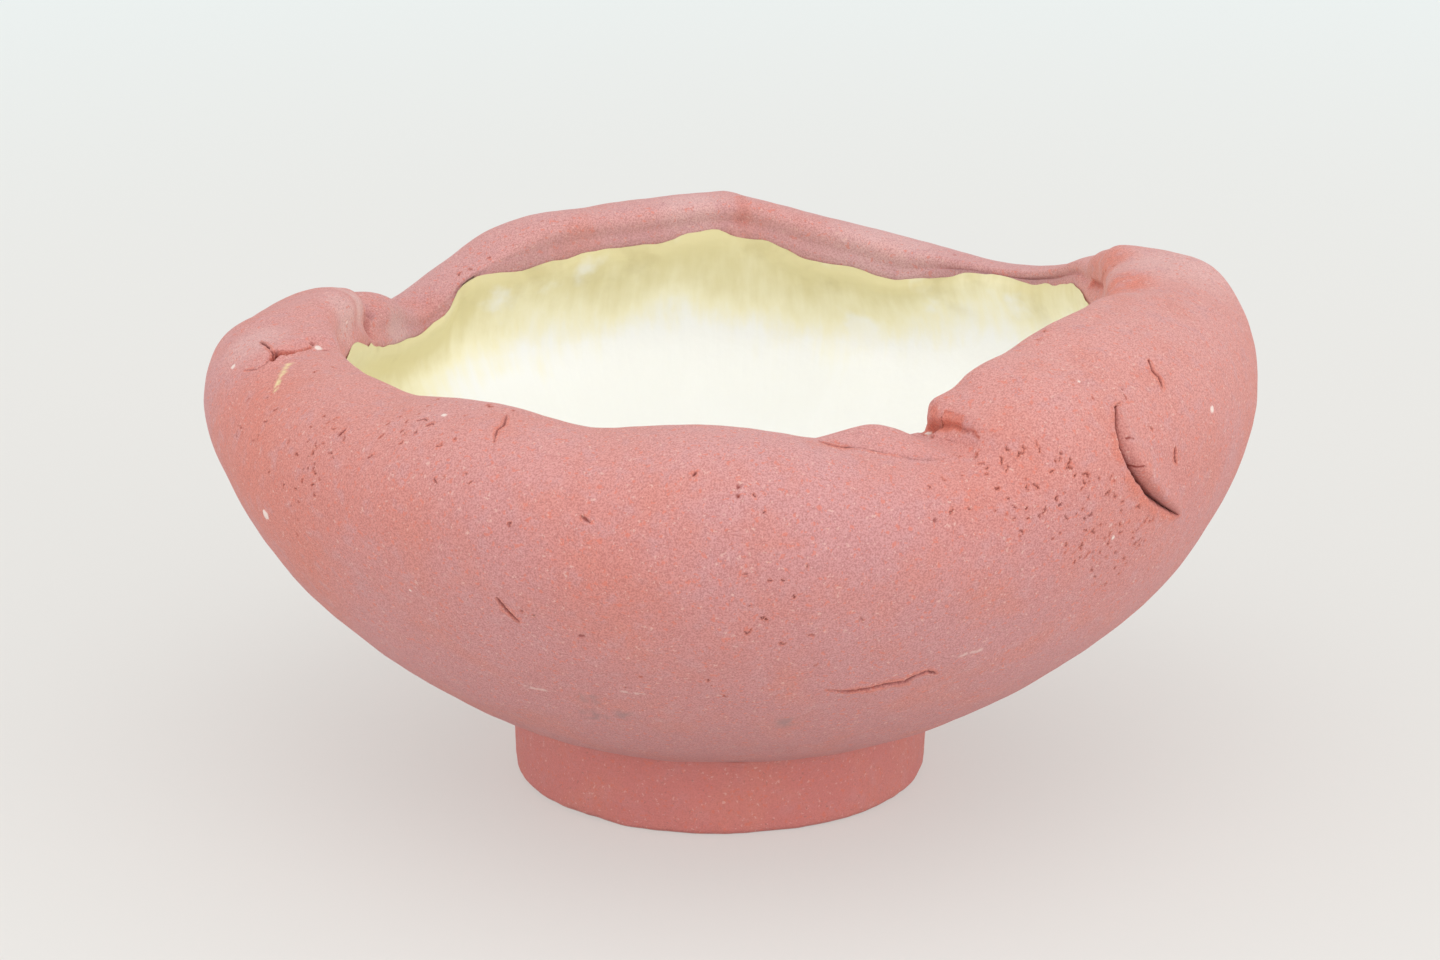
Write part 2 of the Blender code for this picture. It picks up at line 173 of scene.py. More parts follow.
def through(stations, at):
    """Values at angles of the smooth curve through (angle, value) stations, level beyond its ends."""
    angles, values = np.array(stations, float).T
    slopes = np.gradient(values, angles)
    at = np.clip(at, angles[0], angles[-1])
    i = np.clip(np.searchsorted(angles, at) - 1, 0, len(angles) - 2)
    span = angles[i + 1] - angles[i]
    return hermite(values[i], slopes[i] * span, values[i + 1], slopes[i + 1] * span, (at - angles[i]) / span)


def belly_point(turn):
    power = 2 / BELLY_POWER
    drop = (BELLY_HEIGHT - BELLY_BOTTOM) * np.cos(turn) ** power
    return np.stack([BELLY_RADIUS * np.sin(turn) ** power, BELLY_HEIGHT - drop], -1)


def belly_turn(height):
    drop = (BELLY_HEIGHT - height) / (BELLY_HEIGHT - BELLY_BOTTOM)
    return math.acos(drop ** (BELLY_POWER / 2))


def belly_way(turn):
    """Direction up the belly's outside."""
    above = belly_point(np.minimum(turn + TURN_NUDGE, math.pi / 2))
    way = above - belly_point(np.maximum(turn - TURN_NUDGE, 0))
    return way / np.linalg.norm(way, axis=-1, keepdims=True)


def inside_point(turn):
    way = belly_way(turn)
    return np.maximum(belly_point(turn) + WALL * np.stack([-way[..., 1], way[..., 0]], -1), 0)


UNDERSIDE_TURN = belly_turn(UNDERSIDE_HEIGHT)
JOINT_TURN = belly_turn(JOINT_OUTSIDE_HEIGHT)
INNER_JOINT_TURN = belly_turn(JOINT_INSIDE_HEIGHT)
UNDERSIDE_EDGE = belly_point(UNDERSIDE_TURN)
JOINT_POINT = belly_point(JOINT_TURN)
INNER_JOINT_POINT = inside_point(INNER_JOINT_TURN)


def rim_point(stations, angle):
    rise = through([(a, r) for a, r, _ in stations], angle)
    setback = through([(a, s) for a, _, s in stations], angle)
    return np.stack([BELLY_RADIUS - setback, BELLY_HEIGHT + rise], -1)


def leaf_edge(angle):
    turns = (-FULL_TURN, 0, FULL_TURN)
    repeated = [(a + turn, rise, setback) for turn in turns for a, rise, setback in LEAF_EDGE]
    return rim_point(repeated, angle % FULL_TURN)


def pad_profile(stations, angle, along):
    """(radius, height) of one pad: up its outside to the crest, then over the lip to the leaf edge."""
    top, edge = rim_point(stations, angle), leaf_edge(angle)
    reach = SHOULDER_ROUNDNESS * np.linalg.norm(top - JOINT_POINT, axis=-1, keepdims=True)
    share = np.clip(along, JOINT, CREST)[..., None]
    outside = hermite(JOINT_POINT, belly_way(JOINT_TURN) * reach, top, reach * np.array([-1, 0]), share)
    turn = np.clip(along - CREST, 0, 1) * math.pi / 2
    lip = edge + (top - edge) * np.stack([1 - np.sin(turn), np.cos(turn)], -1)
    return np.where((along <= CREST)[..., None], outside, lip)


def lap(seam, angle, along):
    """How far over a seam an angle is: 0 before it, 1 behind it, sharp on the lip and soft below."""
    width, behind, lean = SEAM_LAPS[seam % FULL_TURN]
    width = width + SEAM_SPREAD * smooth((SEAM_FADE_FROM - along) / SEAM_FADE_OVER)
    return smooth(0.5 + (angle - seam - behind - lean * np.clip(along - CREST, 0, 1)) / (2 * width))


def rim_profile(angle, along):
    """(radius, height) of the whole rim, each pad blended into the next over its seam."""
    total = np.zeros(angle.shape + (2,))
    for stations in RIM_PADS.values():
        start, end = stations[0][0], stations[-1][0]
        for turn in (-FULL_TURN, 0, FULL_TURN):
            weight = lap(start, angle + turn, along) * (1 - lap(end, angle + turn, along))
            some = weight > 0
            if not some.any():
                continue
            total[some] += weight[some, None] * pad_profile(stations, angle[some] + turn, along[some])
    return total


def underside_profile(angle, along):
    return UNDERSIDE_EDGE * np.stack([along - MIDDLE_UNDER, np.ones(along.shape)], -1)


def wall_profile(angle, along):
    return belly_point(UNDERSIDE_TURN + (along - UNDERSIDE) * (JOINT_TURN - UNDERSIDE_TURN))


def inner_rim_profile(angle, along):
    edge = leaf_edge(angle)
    reach = np.linalg.norm(edge - INNER_JOINT_POINT, axis=-1, keepdims=True)
    down = -reach * belly_way(INNER_JOINT_TURN)
    return hermite(edge, reach * np.array([0, -1]), INNER_JOINT_POINT, down, (along - LEAF)[..., None])


def inner_wall_profile(angle, along):
    inside = inside_point(INNER_JOINT_TURN * np.clip(FLOOR - along, 0, 1))
    inside[along >= FLOOR, 0] = 0
    return inside


PROFILES = (
    (MIDDLE_UNDER - 1, underside_profile), (UNDERSIDE, wall_profile), (JOINT, rim_profile),
    (LEAF, inner_rim_profile), (INNER_JOINT, inner_wall_profile))


def profile(angle, along):
    """(radius, height) of the clay's smooth form at angles and shares along its section."""
    starts = [start for start, _ in PROFILES]
    band = np.searchsorted(starts, along, side="right") - 1
    points = np.zeros(along.shape + (2,))
    for k, (_, curve) in enumerate(PROFILES):
        some = band == k
        points[some] = curve(angle[some], along[some])
    return points


def slant(radius):
    """Turn of the seams' upright planes from the radius, in radians."""
    return SCARF_ANGLE - np.arcsin(math.sin(SCARF_ANGLE) * SCARF_PIVOT / np.maximum(radius, SCARF_PIVOT / 2))


def form(angle, along):
    """Points of the clay's smooth form."""
    radius, height = profile(angle, along).T
    at_joints = [JOINT_POINT[0], INNER_JOINT_POINT[0]]
    seam_radius = np.select([along < JOINT, along > INNER_JOINT], at_joints, radius)
    turn = np.radians(angle) + slant(seam_radius)
    return np.stack([radius * np.cos(turn), radius * np.sin(turn), height], -1)


def square_to(surface, angle, along):
    """Directions square to a surface of angles and shares, upright where it has no slopes."""
    across = surface(angle + ANGLE_NUDGE, along) - surface(angle - ANGLE_NUDGE, along)
    up = surface(angle, along + ALONG_NUDGE) - surface(angle, along - ALONG_NUDGE)
    out = np.cross(across, up)
    size = np.linalg.norm(out, axis=-1, keepdims=True)
    flat = np.array([0, 0, 1]) * np.where(np.asarray(along) > JOINT, 1, -1)[..., None]
    return np.where(size > TINY, out / np.maximum(size, TINY), flat)


def outward(angle, along):
    """Directions out of the clay's smooth form."""
    return square_to(form, angle, along)


def spots(points, by):
    """Angles and shares of (azimuth, height) places on the outside or (azimuth, radius) places on the rim."""
    azimuth, sought = np.array(points, float).T
    outside = by == "height"
    if outside:
        shares = np.linspace(UNDERSIDE, CREST, OUTSIDE_STEPS)
    else:
        shares = np.linspace(RIM_FROM, LEAF, RIM_STEPS)
    goals = sought if outside else -sought
    angle = azimuth
    for _ in range(ROUNDS):
        grid = np.broadcast_arrays(angle[:, None], shares)
        radius, height = profile(*[values.ravel() for values in grid]).T.reshape(2, len(points), -1)
        lines = height if outside else -radius
        share = np.array([np.interp(goal, line, shares) for goal, line in zip(goals, lines)])
        at = np.array([np.interp(k, shares, line) for k, line in zip(share, radius)])
        angle = azimuth - np.degrees(slant(np.where(share > JOINT, at, JOINT_POINT[0])))
    return angle, share


def places(points, by):
    """Points in space of such places."""
    return form(*spots(points, by))


# Cracks: places (azimuth, height or radius), half width, depth.
CRESCENT = (
    (314.9, 68.9), (313.8, 66.7), (313.7, 64.2), (314.7, 61.4), (317, 57.8), (320.2, 54.6), (323.7, 52))
CRESCENT_SHIFT = 0.2
BELLY_CRACKS = (
    (((283, 33.5), (286.6, 33.4), (288.7, 33.7), (291.2, 33.6), (292.2, 34.6), (293.5, 35.2), (295, 34.4)),
     0.5, 0.9),
    (((281.2, 34), (284.2, 33.2), (287.6, 33.1)), 0.22, 0.3),
    (((245, 47.7), (245.8, 45.8), (246.8, 44.0)), 0.3, 0.7),
    (((324, 72.5), (323.3, 71.4), (323.6, 70.6), (323, 69)), 0.3, 0.6),
    (((322.2, 62), (322, 60.6), (322.4, 59.4)), 0.26, 0.5),
    ([(azimuth + CRESCENT_SHIFT, height) for azimuth, height in CRESCENT], 0.92, 2),
    (((314.9, 68.9), (315.5, 69.2), (316.3, 69.1)), 0.14, 0.2),
    (((222.3, 64.6), (222, 63.8)), 0.3, 0.5),
    (((266.2, 66), (265.8, 65.6)), 0.3, 0.4),
    (((254.6, 60.4), (255.6, 59.7)), 0.26, 0.35),
)
RIM_CRACKS = (
    (((280.8, 60), (281.8, 61.5), (283.1, 62.1), (285.4, 61.6), (287.2, 62.7), (289.2, 63.5), (290.8, 64.3)),
     0.42, 0.9),
    (((192.2, 66.9), (195, 66.2), (196.8, 65.9), (197.2, 66.1)), 0.22, 0.7),
    (((197.3, 66.1), (198, 67.5), (197.9, 68.6), (196.1, 69.9)), 0.16, 0.2),
    (((241.6, 61.6), (242.6, 64.2), (242.4, 65.6), (243, 67.6)), 0.24, 0.3),
    (((231, 65.5), (231.8, 64.9), (232.4, 65.2)), 0.2, 0.4),
    (((233, 66.3), (233.6, 65.7), (233.9, 66)), 0.22, 0.4),
)

# Folds: open at their first place and closed at their last; half width and depth at the first, redness.
# A fold's redness is partly painted shade in its hollow, and it also scales the fold's painted shade.
RIM_FOLDS = (
    (((197.4, 66.2), (196.9, 64.9), (197, 64.1), (196.9, 63.1), (196.5, 61.6), (195.8, 59.9)),
     0.65, 1.3, 0.7),
    (((88, 55.5), (88.3, 58), (88.6, 63)), 1.8, 0.5, 0.3),
    (((296.7, 57), (296.8, 60), (297.7, 61.8), (298.2, 63.2), (298.8, 64.5), (299.1, 65.6)), 1.6, 1.3, 1),
    (((19.7, 55), (12.8, 54.1), (4.9, 53.5), (0.8, 54.5)), 1.0, 0.7, 0.7),
)

# Pits: place, radius, depth.
BELLY_PITS = (
    ((253.9, 43.1), 0.5, 0.9), ((270.6, 64.6), 0.38, 0.4), ((270.6, 63.6), 0.38, 0.4),
    ((291, 59.1), 0.4, 0.3),
)
RIM_PITS = (
    ((196.9, 65.4), 0.6, 1.2), ((195.4, 59.9), 0.5, 0.6), ((196.3, 58.3), 0.6, 0.7),
    ((153.5, 59.3), 2.5, 1.9),
    ((156.8, 57), 2.5, 2.0),
)

# Soft dents, and swellings where the depth is less than nothing: place, radius, depth.
BELLY_DENTS = (((185, 36), 26, 0.4), ((180, 64), 6, -0.5), ((187, 56), 9, -0.8), ((352, 42), 14, 0.6))
RIM_DENTS = (
    ((188.3, 64.5), 7, 0.8), ((176, 66), 6, 0.9), ((169, 61), 5, -0.5), ((175, 55), 4.5, -0.8),
    ((149.5, 59), 2, -0.7), ((138, 62), 1.6, 0.6), ((153, 59.8), 2.4, 1.6), ((158, 56.8), 2.4, 1.8),
    ((298.4, 56.4), 1.8, -0.45), ((301.4, 57.4), 1.3, 0.5), ((297.6, 60), 1.4, 0.5), ((298.1, 62), 1.3, 0.4),
    ((345, 55.5), 5, 1.2), ((9, 56), 3.5, -1.0), ((1.5, 61), 3, 0.5), ((3, 67), 6, -1.3),
    ((222, 58.5), 7, 0.4),
)

# Redder clay: place, radius, strength; in the rim's hollows and under its lobe it is partly painted shade.
BELLY_FLUSHES = (((203, 56), 13, 0.5), ((213, 47), 13, 0.35))
RIM_FLUSHES_AND_SHADE = (
    ((349, 55.3), 4.5, 0.85), ((4, 54), 4, 0.75), ((14, 54.5), 3.5, 0.5), ((297.3, 58), 1.1, 0.7),
    ((297.5, 60.3), 1.1, 0.7), ((298, 61.9), 1.1, 0.7),
)

# Paler clay: place, radius, strength; the first, on the side of the knob, is a painted highlight.
RIM_PALER_PATCHES = (
    ((167.5, 55.5), 4, 0.7), ((178, 55), 4, 0.6), ((191, 68), 5, 0.45), ((147, 58.5), 4, 0.6),
    ((96, 57), 5, 0.5), ((66, 57), 9, 0.5), ((0, 63), 9, 0.5),
)

# Chips: patches of small bent cracks by place, radius and number of chips; ranges of a bend's radius and of
# its turn in radians, and how uneven it is; half width and depth.
CHIPPED = (
    ((296, 63.5), 6, 20), ((303, 60.5), 6.5, 36), ((309, 56), 6.5, 44), ((315, 50), 6, 32), ((318, 72), 8, 8),
    ((240, 66.5), 5, 12), ((220, 61), 5, 22), ((214, 56), 8, 10), ((262, 50), 22, 16), ((120, 50), 22, 16),
    ((60, 48), 22, 16), ((165, 45), 15, 8), ((20, 50), 15, 8), ((206, 63), 6, 14), ((230, 66), 4, 14),
    ((281, 52), 14, 8),
)
CHIP_RADII = (0.18, 0.6)
CHIP_TURNS = (1, 2.8)
CHIP_UNEVEN = 0.3
CHIP_CORNERS = 5
CHIP_HALF_WIDTH = 0.11
CHIP_DEPTH = 0.3
CHIP_SEED = 7

# Pale grains: place, radius.
BELLY_GRAINS = (
    ((330.4, 64.4), 0.5), ((210.4, 49.7), 0.75), ((233.9, 68.1), 0.35), ((313, 52), 0.3),
    ((193.4, 64.5), 0.45),
)
RIM_GRAINS = (((195.9, 59.3), 0.5), ((296.6, 56.6), 0.28), ((296.2, 57.6), 0.22))

# Scratches: places, half width; pale ones, and one of gold leaf rubbed off on the rim.
PALE_SCRATCHES = (
    (((242.8, 31.5), (246.5, 31)), 0.35), (((256.1, 33.1), (259.8, 33)), 0.25),
    (((296.3, 37.5), (300.2, 38)), 0.4),
)
GOLD_SCRATCH = ((199.5, 64.3), (204.8, 68.2))
GOLD_HALF_WIDTH = 0.45

# Grey smears of slip: place, radius.
SMEARS = (((251.8, 30.6), 2.2), ((251.1, 27), 2.6), ((255.6, 27.8), 2.0), ((277.2, 27), 2.4))

# Shapes of marks, in half widths, radii or depths. Cracks: width left at the ends; middle, width, height and
# redness of the raised lip; depth in millimetres from which their painted shade is full, and its spread.
CRACK_ENDS = 0.35
CRACK_LIP = (1.6, 0.8, 0.1, 0.7)
CRACK_SHADE = (0.5, 1.3)

# Folds: narrowing to the closed end, spread of the redness, painted shade. Pits: unevenness, its least
# wavelength in millimetres, painted shade. How far the middle of a redder or paler patch reaches.
FOLD_SHAPE = (0.85, 2, 0.5)
PIT_SHAPE = (0.7, 0.5, 0.8)
PATCH_REACH = 1.4

# Grains: unevenness and its wavelength in millimetres; height in millimetres and reach of the rise; sharpness
# and reach of the colour.
GRAIN_UNEVEN = (0.5, 0.6)
GRAIN_RISE = (0.1, 1.3)
GRAIN_COLOUR = (3, 1.2)

# Broken colours: middle level, contrast, wavelength in millimetres, strength, reach; how fast scratches end.
SCRATCH_COLOUR = (0.7, 2.6, 0.7, 0.45, 1.5)
SMEAR_COLOUR = (0.6, 1.5, 1.3, 0.7, 1.2)
GOLD_COLOUR = (0.7, 1.5, 0.8, 1, 1.4)
SCRATCH_ENDS = 6

# Ragged edges of cracks and how unevenly they open: wavelength in millimetres and share; widest raggedness.
RAGGED = (0.8, 0.4)
RAGGED_WIDTH = 0.45
OPENING = (1.4, 0.4)

# How many half widths or radii from a mark its traces are looked for.
SEARCH = 4

# Hand-pressed relief: wavelength and height of each layer of lumps.
LUMPS = ((24, 0.45), (8, 0.21), (2.6, 0.065))

# Roll of the lip: share and width of its swelling and of the hollow under it, and their heights.
ROLL = ((1.42, 0.2, 0.4), (1.8, 0.17, -0.9))

# Where the lip is so thin that the roll fades: azimuth, reach in degrees, share lost.
ROLL_FADE = (128, 12, 0.85)

# Painted shade on the inside of the back lip, where it turns down: share along the section from which, over
# which and by how much; how far back it starts and over what distance.
LIP_SHADE = (1.4, 0.35, 0.28)
LIP_SHADE_FROM = 22
LIP_SHADE_OVER = 15

# Stretches over which the relief fades under the gilding and at the edge of the underside.
FADE_UNDER_LEAF = 0.4
FADE_UNDERSIDE = 0.05

TINTS = ("crevice_shade", "flush", "paler_patch", "pale", "smear_and_shade", "gold")


def lumps(points, wavelength):
    return np.array([noise.noise(Vector(p)) for p in points / wavelength])


def layered(points, layers):
    """Sum of layers of lumps, each a wavelength and a height."""
    return sum(height * lumps(points, wavelength) for wavelength, height in layers)


def to_line(points, line):
    """Distance from a line through places, and the share of its length at the nearest point."""
    best = np.full(len(points), np.inf)
    share = np.zeros(len(points))
    lengths = np.linalg.norm(np.diff(line, axis=0), axis=1)
    run = 0
    for start, end, length in zip(line, line[1:], lengths):
        t = np.clip((points - start) @ (end - start) / length**2, 0, 1)
        distance = np.linalg.norm(points - start - t[:, None] * (end - start), axis=1)
        nearer = distance < best
        best[nearer] = distance[nearer]
        share[nearer] = ((run + t * length) / lengths.sum())[nearer]
        run += length
    return best, share


def chips():
    """The small bent cracks, scattered in their patches: points in space, half width, depth."""
    pick = np.random.default_rng(CHIP_SEED)
    made = []
    for (azimuth, height), radius, count in CHIPPED:
        reach = radius * np.sqrt(pick.random(count))
        way = pick.uniform(0, 2 * math.pi, count)
        turned = azimuth + np.degrees(reach * np.cos(way) / BELLY_RADIUS)
        angle, along = spots(np.stack([turned, height + reach * np.sin(way)], 1), "height")
        out = outward(angle, along)
        side = np.cross([0, 0, 1], out)
        side /= np.linalg.norm(side, axis=1, keepdims=True)
        rise = np.cross(out, side)
        uneven = 1 + pick.uniform(-CHIP_UNEVEN, CHIP_UNEVEN, (count, CHIP_CORNERS, 1))
        size = pick.uniform(*CHIP_RADII, (count, 1, 1)) * uneven
        start = pick.uniform(0, 2 * math.pi, (count, 1))
        turns = start + pick.uniform(*CHIP_TURNS, (count, 1)) * np.linspace(0, 1, CHIP_CORNERS)
        bends = np.cos(turns)[..., None] * side[:, None] + np.sin(turns)[..., None] * rise[:, None]
        made += [(arc, CHIP_HALF_WIDTH, CHIP_DEPTH) for arc in form(angle, along)[:, None] + size * bends]
    return made


def in_space(outside, on_rim, place):
    """Marks of the outside and of the rim, their places turned to points in space by a function."""
    marks = [(place(at, "height"), *rest) for at, *rest in outside]
    return marks + [(place(at, "radius"), *rest) for at, *rest in on_rim]


def all_marks():
    """Every crack, pit, grain and scratch with its places in space."""
    def centre(at, by):
        return places([at], by)[0]

    return {
        "cracks": in_space(BELLY_CRACKS, RIM_CRACKS, places) + chips(),
        "folds": in_space((), RIM_FOLDS, places),
        "scratches": in_space(PALE_SCRATCHES, (), places),
        "gold": places(GOLD_SCRATCH, "radius"),
        "pits": in_space(BELLY_PITS, RIM_PITS, centre),
        "dents": in_space(BELLY_DENTS, RIM_DENTS, centre),
        "flush": in_space(BELLY_FLUSHES, RIM_FLUSHES_AND_SHADE, centre),
        "paler_patch": in_space((), RIM_PALER_PATCHES, centre),
        "grains": in_space(BELLY_GRAINS, RIM_GRAINS, centre),
        "smears": in_space(SMEARS, (), centre),
    }


MARKS = all_marks()


def near(points, line, reach):
    """Which points lie near a line or a point."""
    line = np.atleast_2d(line)
    low, high = line.min(0) - reach, line.max(0) + reach
    return np.flatnonzero(((points > low) & (points < high)).all(1))


def about(points, centre, radius):
    """Which points lie near a centre, and their distances from it in radii."""
    some = near(points, centre, SEARCH * radius)
    return some, np.linalg.norm(points[some] - centre, axis=1) / radius


def ragged_distance(points, line, width):
    """Distance from a line, made uneven, and the share of the line's length."""
    distance, share = to_line(points, line)
    wavelength, by = RAGGED
    return distance + by * min(width, RAGGED_WIDTH) * lumps(points, wavelength), share


def broken(points, distance, colour):
    """Strength of a patchy colour at distances from its middle."""
    level, contrast, wavelength, most, reach = colour
    return most * smooth(level + contrast * lumps(points, wavelength)) * smooth(reach - distance)


def marks_at(points):
    """Relief of the marks in millimetres, and how strongly each tint colours the clay."""
    relief = np.zeros(len(points))
    tints = {name: np.zeros(len(points)) for name in TINTS}

    def tint(name, some, values):
        tints[name][some] = np.maximum(tints[name][some], values)

    for line, width, depth in MARKS["cracks"]:
        some = near(points, line, SEARCH * width)
        distance, share = ragged_distance(points[some], line, width)
        wavelength, by = OPENING
        taper = CRACK_ENDS + (1 - CRACK_ENDS) * np.sqrt(np.sin(math.pi * np.clip(share, 0, 1)))
        taper = taper * (1 + by * lumps(points[some], wavelength))
        distance = distance / (width * taper)
        inside = np.clip(1 - distance, 0, 1)
        middle, spread, height, red = CRACK_LIP
        swell = np.exp(-((distance - middle) / spread) ** 2)
        relief[some] += depth * taper * (height * swell - smooth(inside))
        # Painted shade inside the crack, where shade falls.
        shade_depth, shade_spread = CRACK_SHADE
        tint("crevice_shade", some, min(1, depth / shade_depth) * smooth(shade_spread * inside))
        tint("flush", some, red * swell)
    for line, width, depth, red in MARKS["folds"]:
        some = near(points, line, SEARCH * width)
        distance, share = ragged_distance(points[some], line, width)
        narrowing, spread, shade_strength = FOLD_SHAPE
        taper = 1 - narrowing * share
        inside = np.clip(1 - distance / (width * taper), 0, 1)
        relief[some] -= depth * taper * smooth(inside)
        tint("flush", some, red * smooth(spread * inside))
        # Painted shade inside the fold.
        tint("crevice_shade", some, shade_strength * red * inside**2)
    for centre, radius, depth in MARKS["pits"]:
        some, distance = about(points, centre, radius)
        uneven, least, shade_strength = PIT_SHAPE
        distance = distance * (1 + uneven * lumps(points[some] + centre, max(radius, least)))
        inside = smooth(1 - distance)
        relief[some] -= depth * inside
        # Painted shade inside the pit.
        tint("crevice_shade", some, shade_strength * inside * min(1, depth / radius))
    for centre, radius, depth in MARKS["dents"]:
        some, distance = about(points, centre, radius)
        relief[some] -= depth * np.exp(-(distance**2))
    for name in ("flush", "paler_patch"):
        for centre, radius, strength in MARKS[name]:
            some, distance = about(points, centre, radius)
            tint(name, some, strength * smooth(PATCH_REACH - distance))
    for centre, radius in MARKS["grains"]:
        some, distance = about(points, centre, radius)
        uneven, wavelength = GRAIN_UNEVEN
        distance = distance * (1 + uneven * lumps(points[some], wavelength))
        height, reach = GRAIN_RISE
        relief[some] += height * smooth(reach - distance)
        sharpness, reach = GRAIN_COLOUR
        tint("pale", some, smooth(sharpness * (reach - distance)))
    for line, width in MARKS["scratches"]:
        some = near(points, line, SEARCH * width)
        distance, share = to_line(points[some], line)
        ends = smooth(SCRATCH_ENDS * share * (1 - share))
        tint("pale", some, ends * broken(points[some], distance / width, SCRATCH_COLOUR))
    for centre, radius in MARKS["smears"]:
        some, distance = about(points, centre, radius)
        tint("smear_and_shade", some, broken(points[some], distance, SMEAR_COLOUR))
    some = near(points, MARKS["gold"], SEARCH * GOLD_HALF_WIDTH)
    distance = to_line(points[some], MARKS["gold"])[0]
    tint("gold", some, broken(points[some], distance / GOLD_HALF_WIDTH, GOLD_COLOUR))
    return relief, tints


def clay_relief(points, along):
    """Relief of the clay with its marks, fading out where the gilding hides it."""
    relief, tints = marks_at(points)
    # Painted shade on the inside of the back lip, mixed into the grey of the smears.
    start, over, most = LIP_SHADE
    shade = most * smooth((along - start) / over) * smooth((points[:, 1] - LIP_SHADE_FROM) / LIP_SHADE_OVER)
    tints["smear_and_shade"] = np.maximum(tints["smear_and_shade"], shade)
    relief = relief + layered(points, LUMPS)
    centre, reach, lost = ROLL_FADE
    azimuth = np.degrees(np.arctan2(points[:, 1], points[:, 0])) % FULL_TURN
    kept = 1 - lost * np.exp(-(((azimuth - centre) / reach) ** 2))
    for share, width, height in ROLL:
        relief = relief + kept * height * np.exp(-(((along - share) / width) ** 2))
    under_leaf = smooth((LEAF + FADE_UNDER_LEAF - along) / FADE_UNDER_LEAF)
    return relief * under_leaf * smooth((along - UNDERSIDE) / FADE_UNDERSIDE), tints


def clay_surface(angle, along):
    """Points of the clay with its relief, and its tints."""
    points = form(angle, along)
    relief, tints = clay_relief(points, along)
    return points + relief[:, None] * outward(angle, along), tints


def clay_points(angle, along):
    return clay_surface(angle, along)[0]


def marked(points):
    """Which points lie close to a mark that needs finer cells."""
    found = np.zeros(len(points), bool)
    for line, width, *_ in MARKS["cracks"] + MARKS["folds"] + MARKS["scratches"]:
        some = near(points, line, width + MARK_REACH)
        found[some] |= to_line(points[some], line)[0] < width + MARK_REACH
    for centre, radius, *_ in MARKS["pits"] + MARKS["grains"]:
        some = near(points, centre, radius + MARK_REACH)
        found[some] |= np.linalg.norm(points[some] - centre, axis=1) < radius + MARK_REACH
    return found


def even_rows(start, end, cell):
    """Shares from start to end along a section, in even steps of about one cell."""
    shares = np.linspace(start, end, SECTION_STEPS)
    section = profile(np.full(shares.shape, FRONT), shares)
    run = np.concatenate([[0], np.cumsum(np.linalg.norm(np.diff(section, axis=0), axis=1))])
    count = max(1, round(run[-1] / cell))
    return np.interp(np.linspace(0, run[-1], count + 1), run, shares)


class Grid:
    """Cells between columns and rows, the flagged ones split finer, as vertices (angle, share) and faces."""

    def __init__(self, columns, rows, ring, loop, fine=None, poles=()):
        self.columns = np.append(columns, columns[0] + FULL_TURN) if ring else np.asarray(columns, float)
        self.rows = np.append(rows, rows[0]) if loop else np.asarray(rows, float)
        self.width = len(columns) * FINER if ring else None
        self.height = len(rows) * FINER if loop else None
        self.poles = {row * FINER for row in poles}
        self.fine = fine
        self.ids, self.lattice, self.faces, self.strips = {}, [], [], []
        for j in range(len(self.rows) - 1):
            for i in range(len(self.columns) - 1):
                self.cell(i, j)

    def vertex(self, i, j):
        key = (i % self.width if self.width else i, j % self.height if self.height else j)
        if key[1] in self.poles:
            key = (0, key[1])
        if key not in self.ids:
            self.ids[key] = len(self.lattice)
            self.lattice.append(key)
        return self.ids[key]

    def is_fine(self, i, j):
        if self.fine is None:
            return False
        rows, columns = self.fine.shape
        if self.width:
            i %= columns
        return 0 <= i < columns and 0 <= j < rows and self.fine[j, i]

    def cell(self, i, j):
        left, low = i * FINER, j * FINER
        steps = range(FINER)
        if self.is_fine(i, j):
            for b in steps:
                for a in steps:
                    corners = ((a, b), (a + 1, b), (a + 1, b + 1), (a, b + 1))
                    self.face([(left + x, low + y) for x, y in corners], j)
            return
        edge = []
        edge += [(left + k, low) for k in (steps if self.is_fine(i, j - 1) else (0,))]
        edge += [(left + FINER, low + k) for k in (steps if self.is_fine(i + 1, j) else (0,))]
        edge += [(left + FINER - k, low + FINER) for k in (steps if self.is_fine(i, j + 1) else (0,))]
        edge += [(left, low + FINER - k) for k in (steps if self.is_fine(i - 1, j) else (0,))]
        self.face(edge, j)

    def face(self, corners, strip):
        face = list(dict.fromkeys(self.vertex(i, j) for i, j in corners))
        if len(face) > 2:
            self.faces.append(face)
            self.strips.append(strip)

    def values(self):
        """Angle and share of every vertex."""
        i, j = np.array(self.lattice, float).T / FINER
        angle = np.interp(i, range(len(self.columns)), self.columns)
        return angle, np.interp(j, range(len(self.rows)), self.rows)

    def column(self, i):
        """Vertices of one column, in order."""
        keys = sorted(key for key in self.ids if key[0] == i * FINER)
        return [self.ids[key] for key in keys]


def flagged(columns, rows, ring, shown):
    """Cells of shown strips that have a corner near a mark."""
    around = np.append(columns, columns[0] + FULL_TURN) if ring else columns
    angle, along = np.meshgrid(around, rows)
    found = marked(form(angle.ravel(), along.ravel()).reshape(-1, 3)).reshape(angle.shape)
    cells = found[:-1, :-1] | found[1:, :-1] | found[:-1, 1:] | found[1:, 1:]
    return cells & np.array(shown)[:, None]


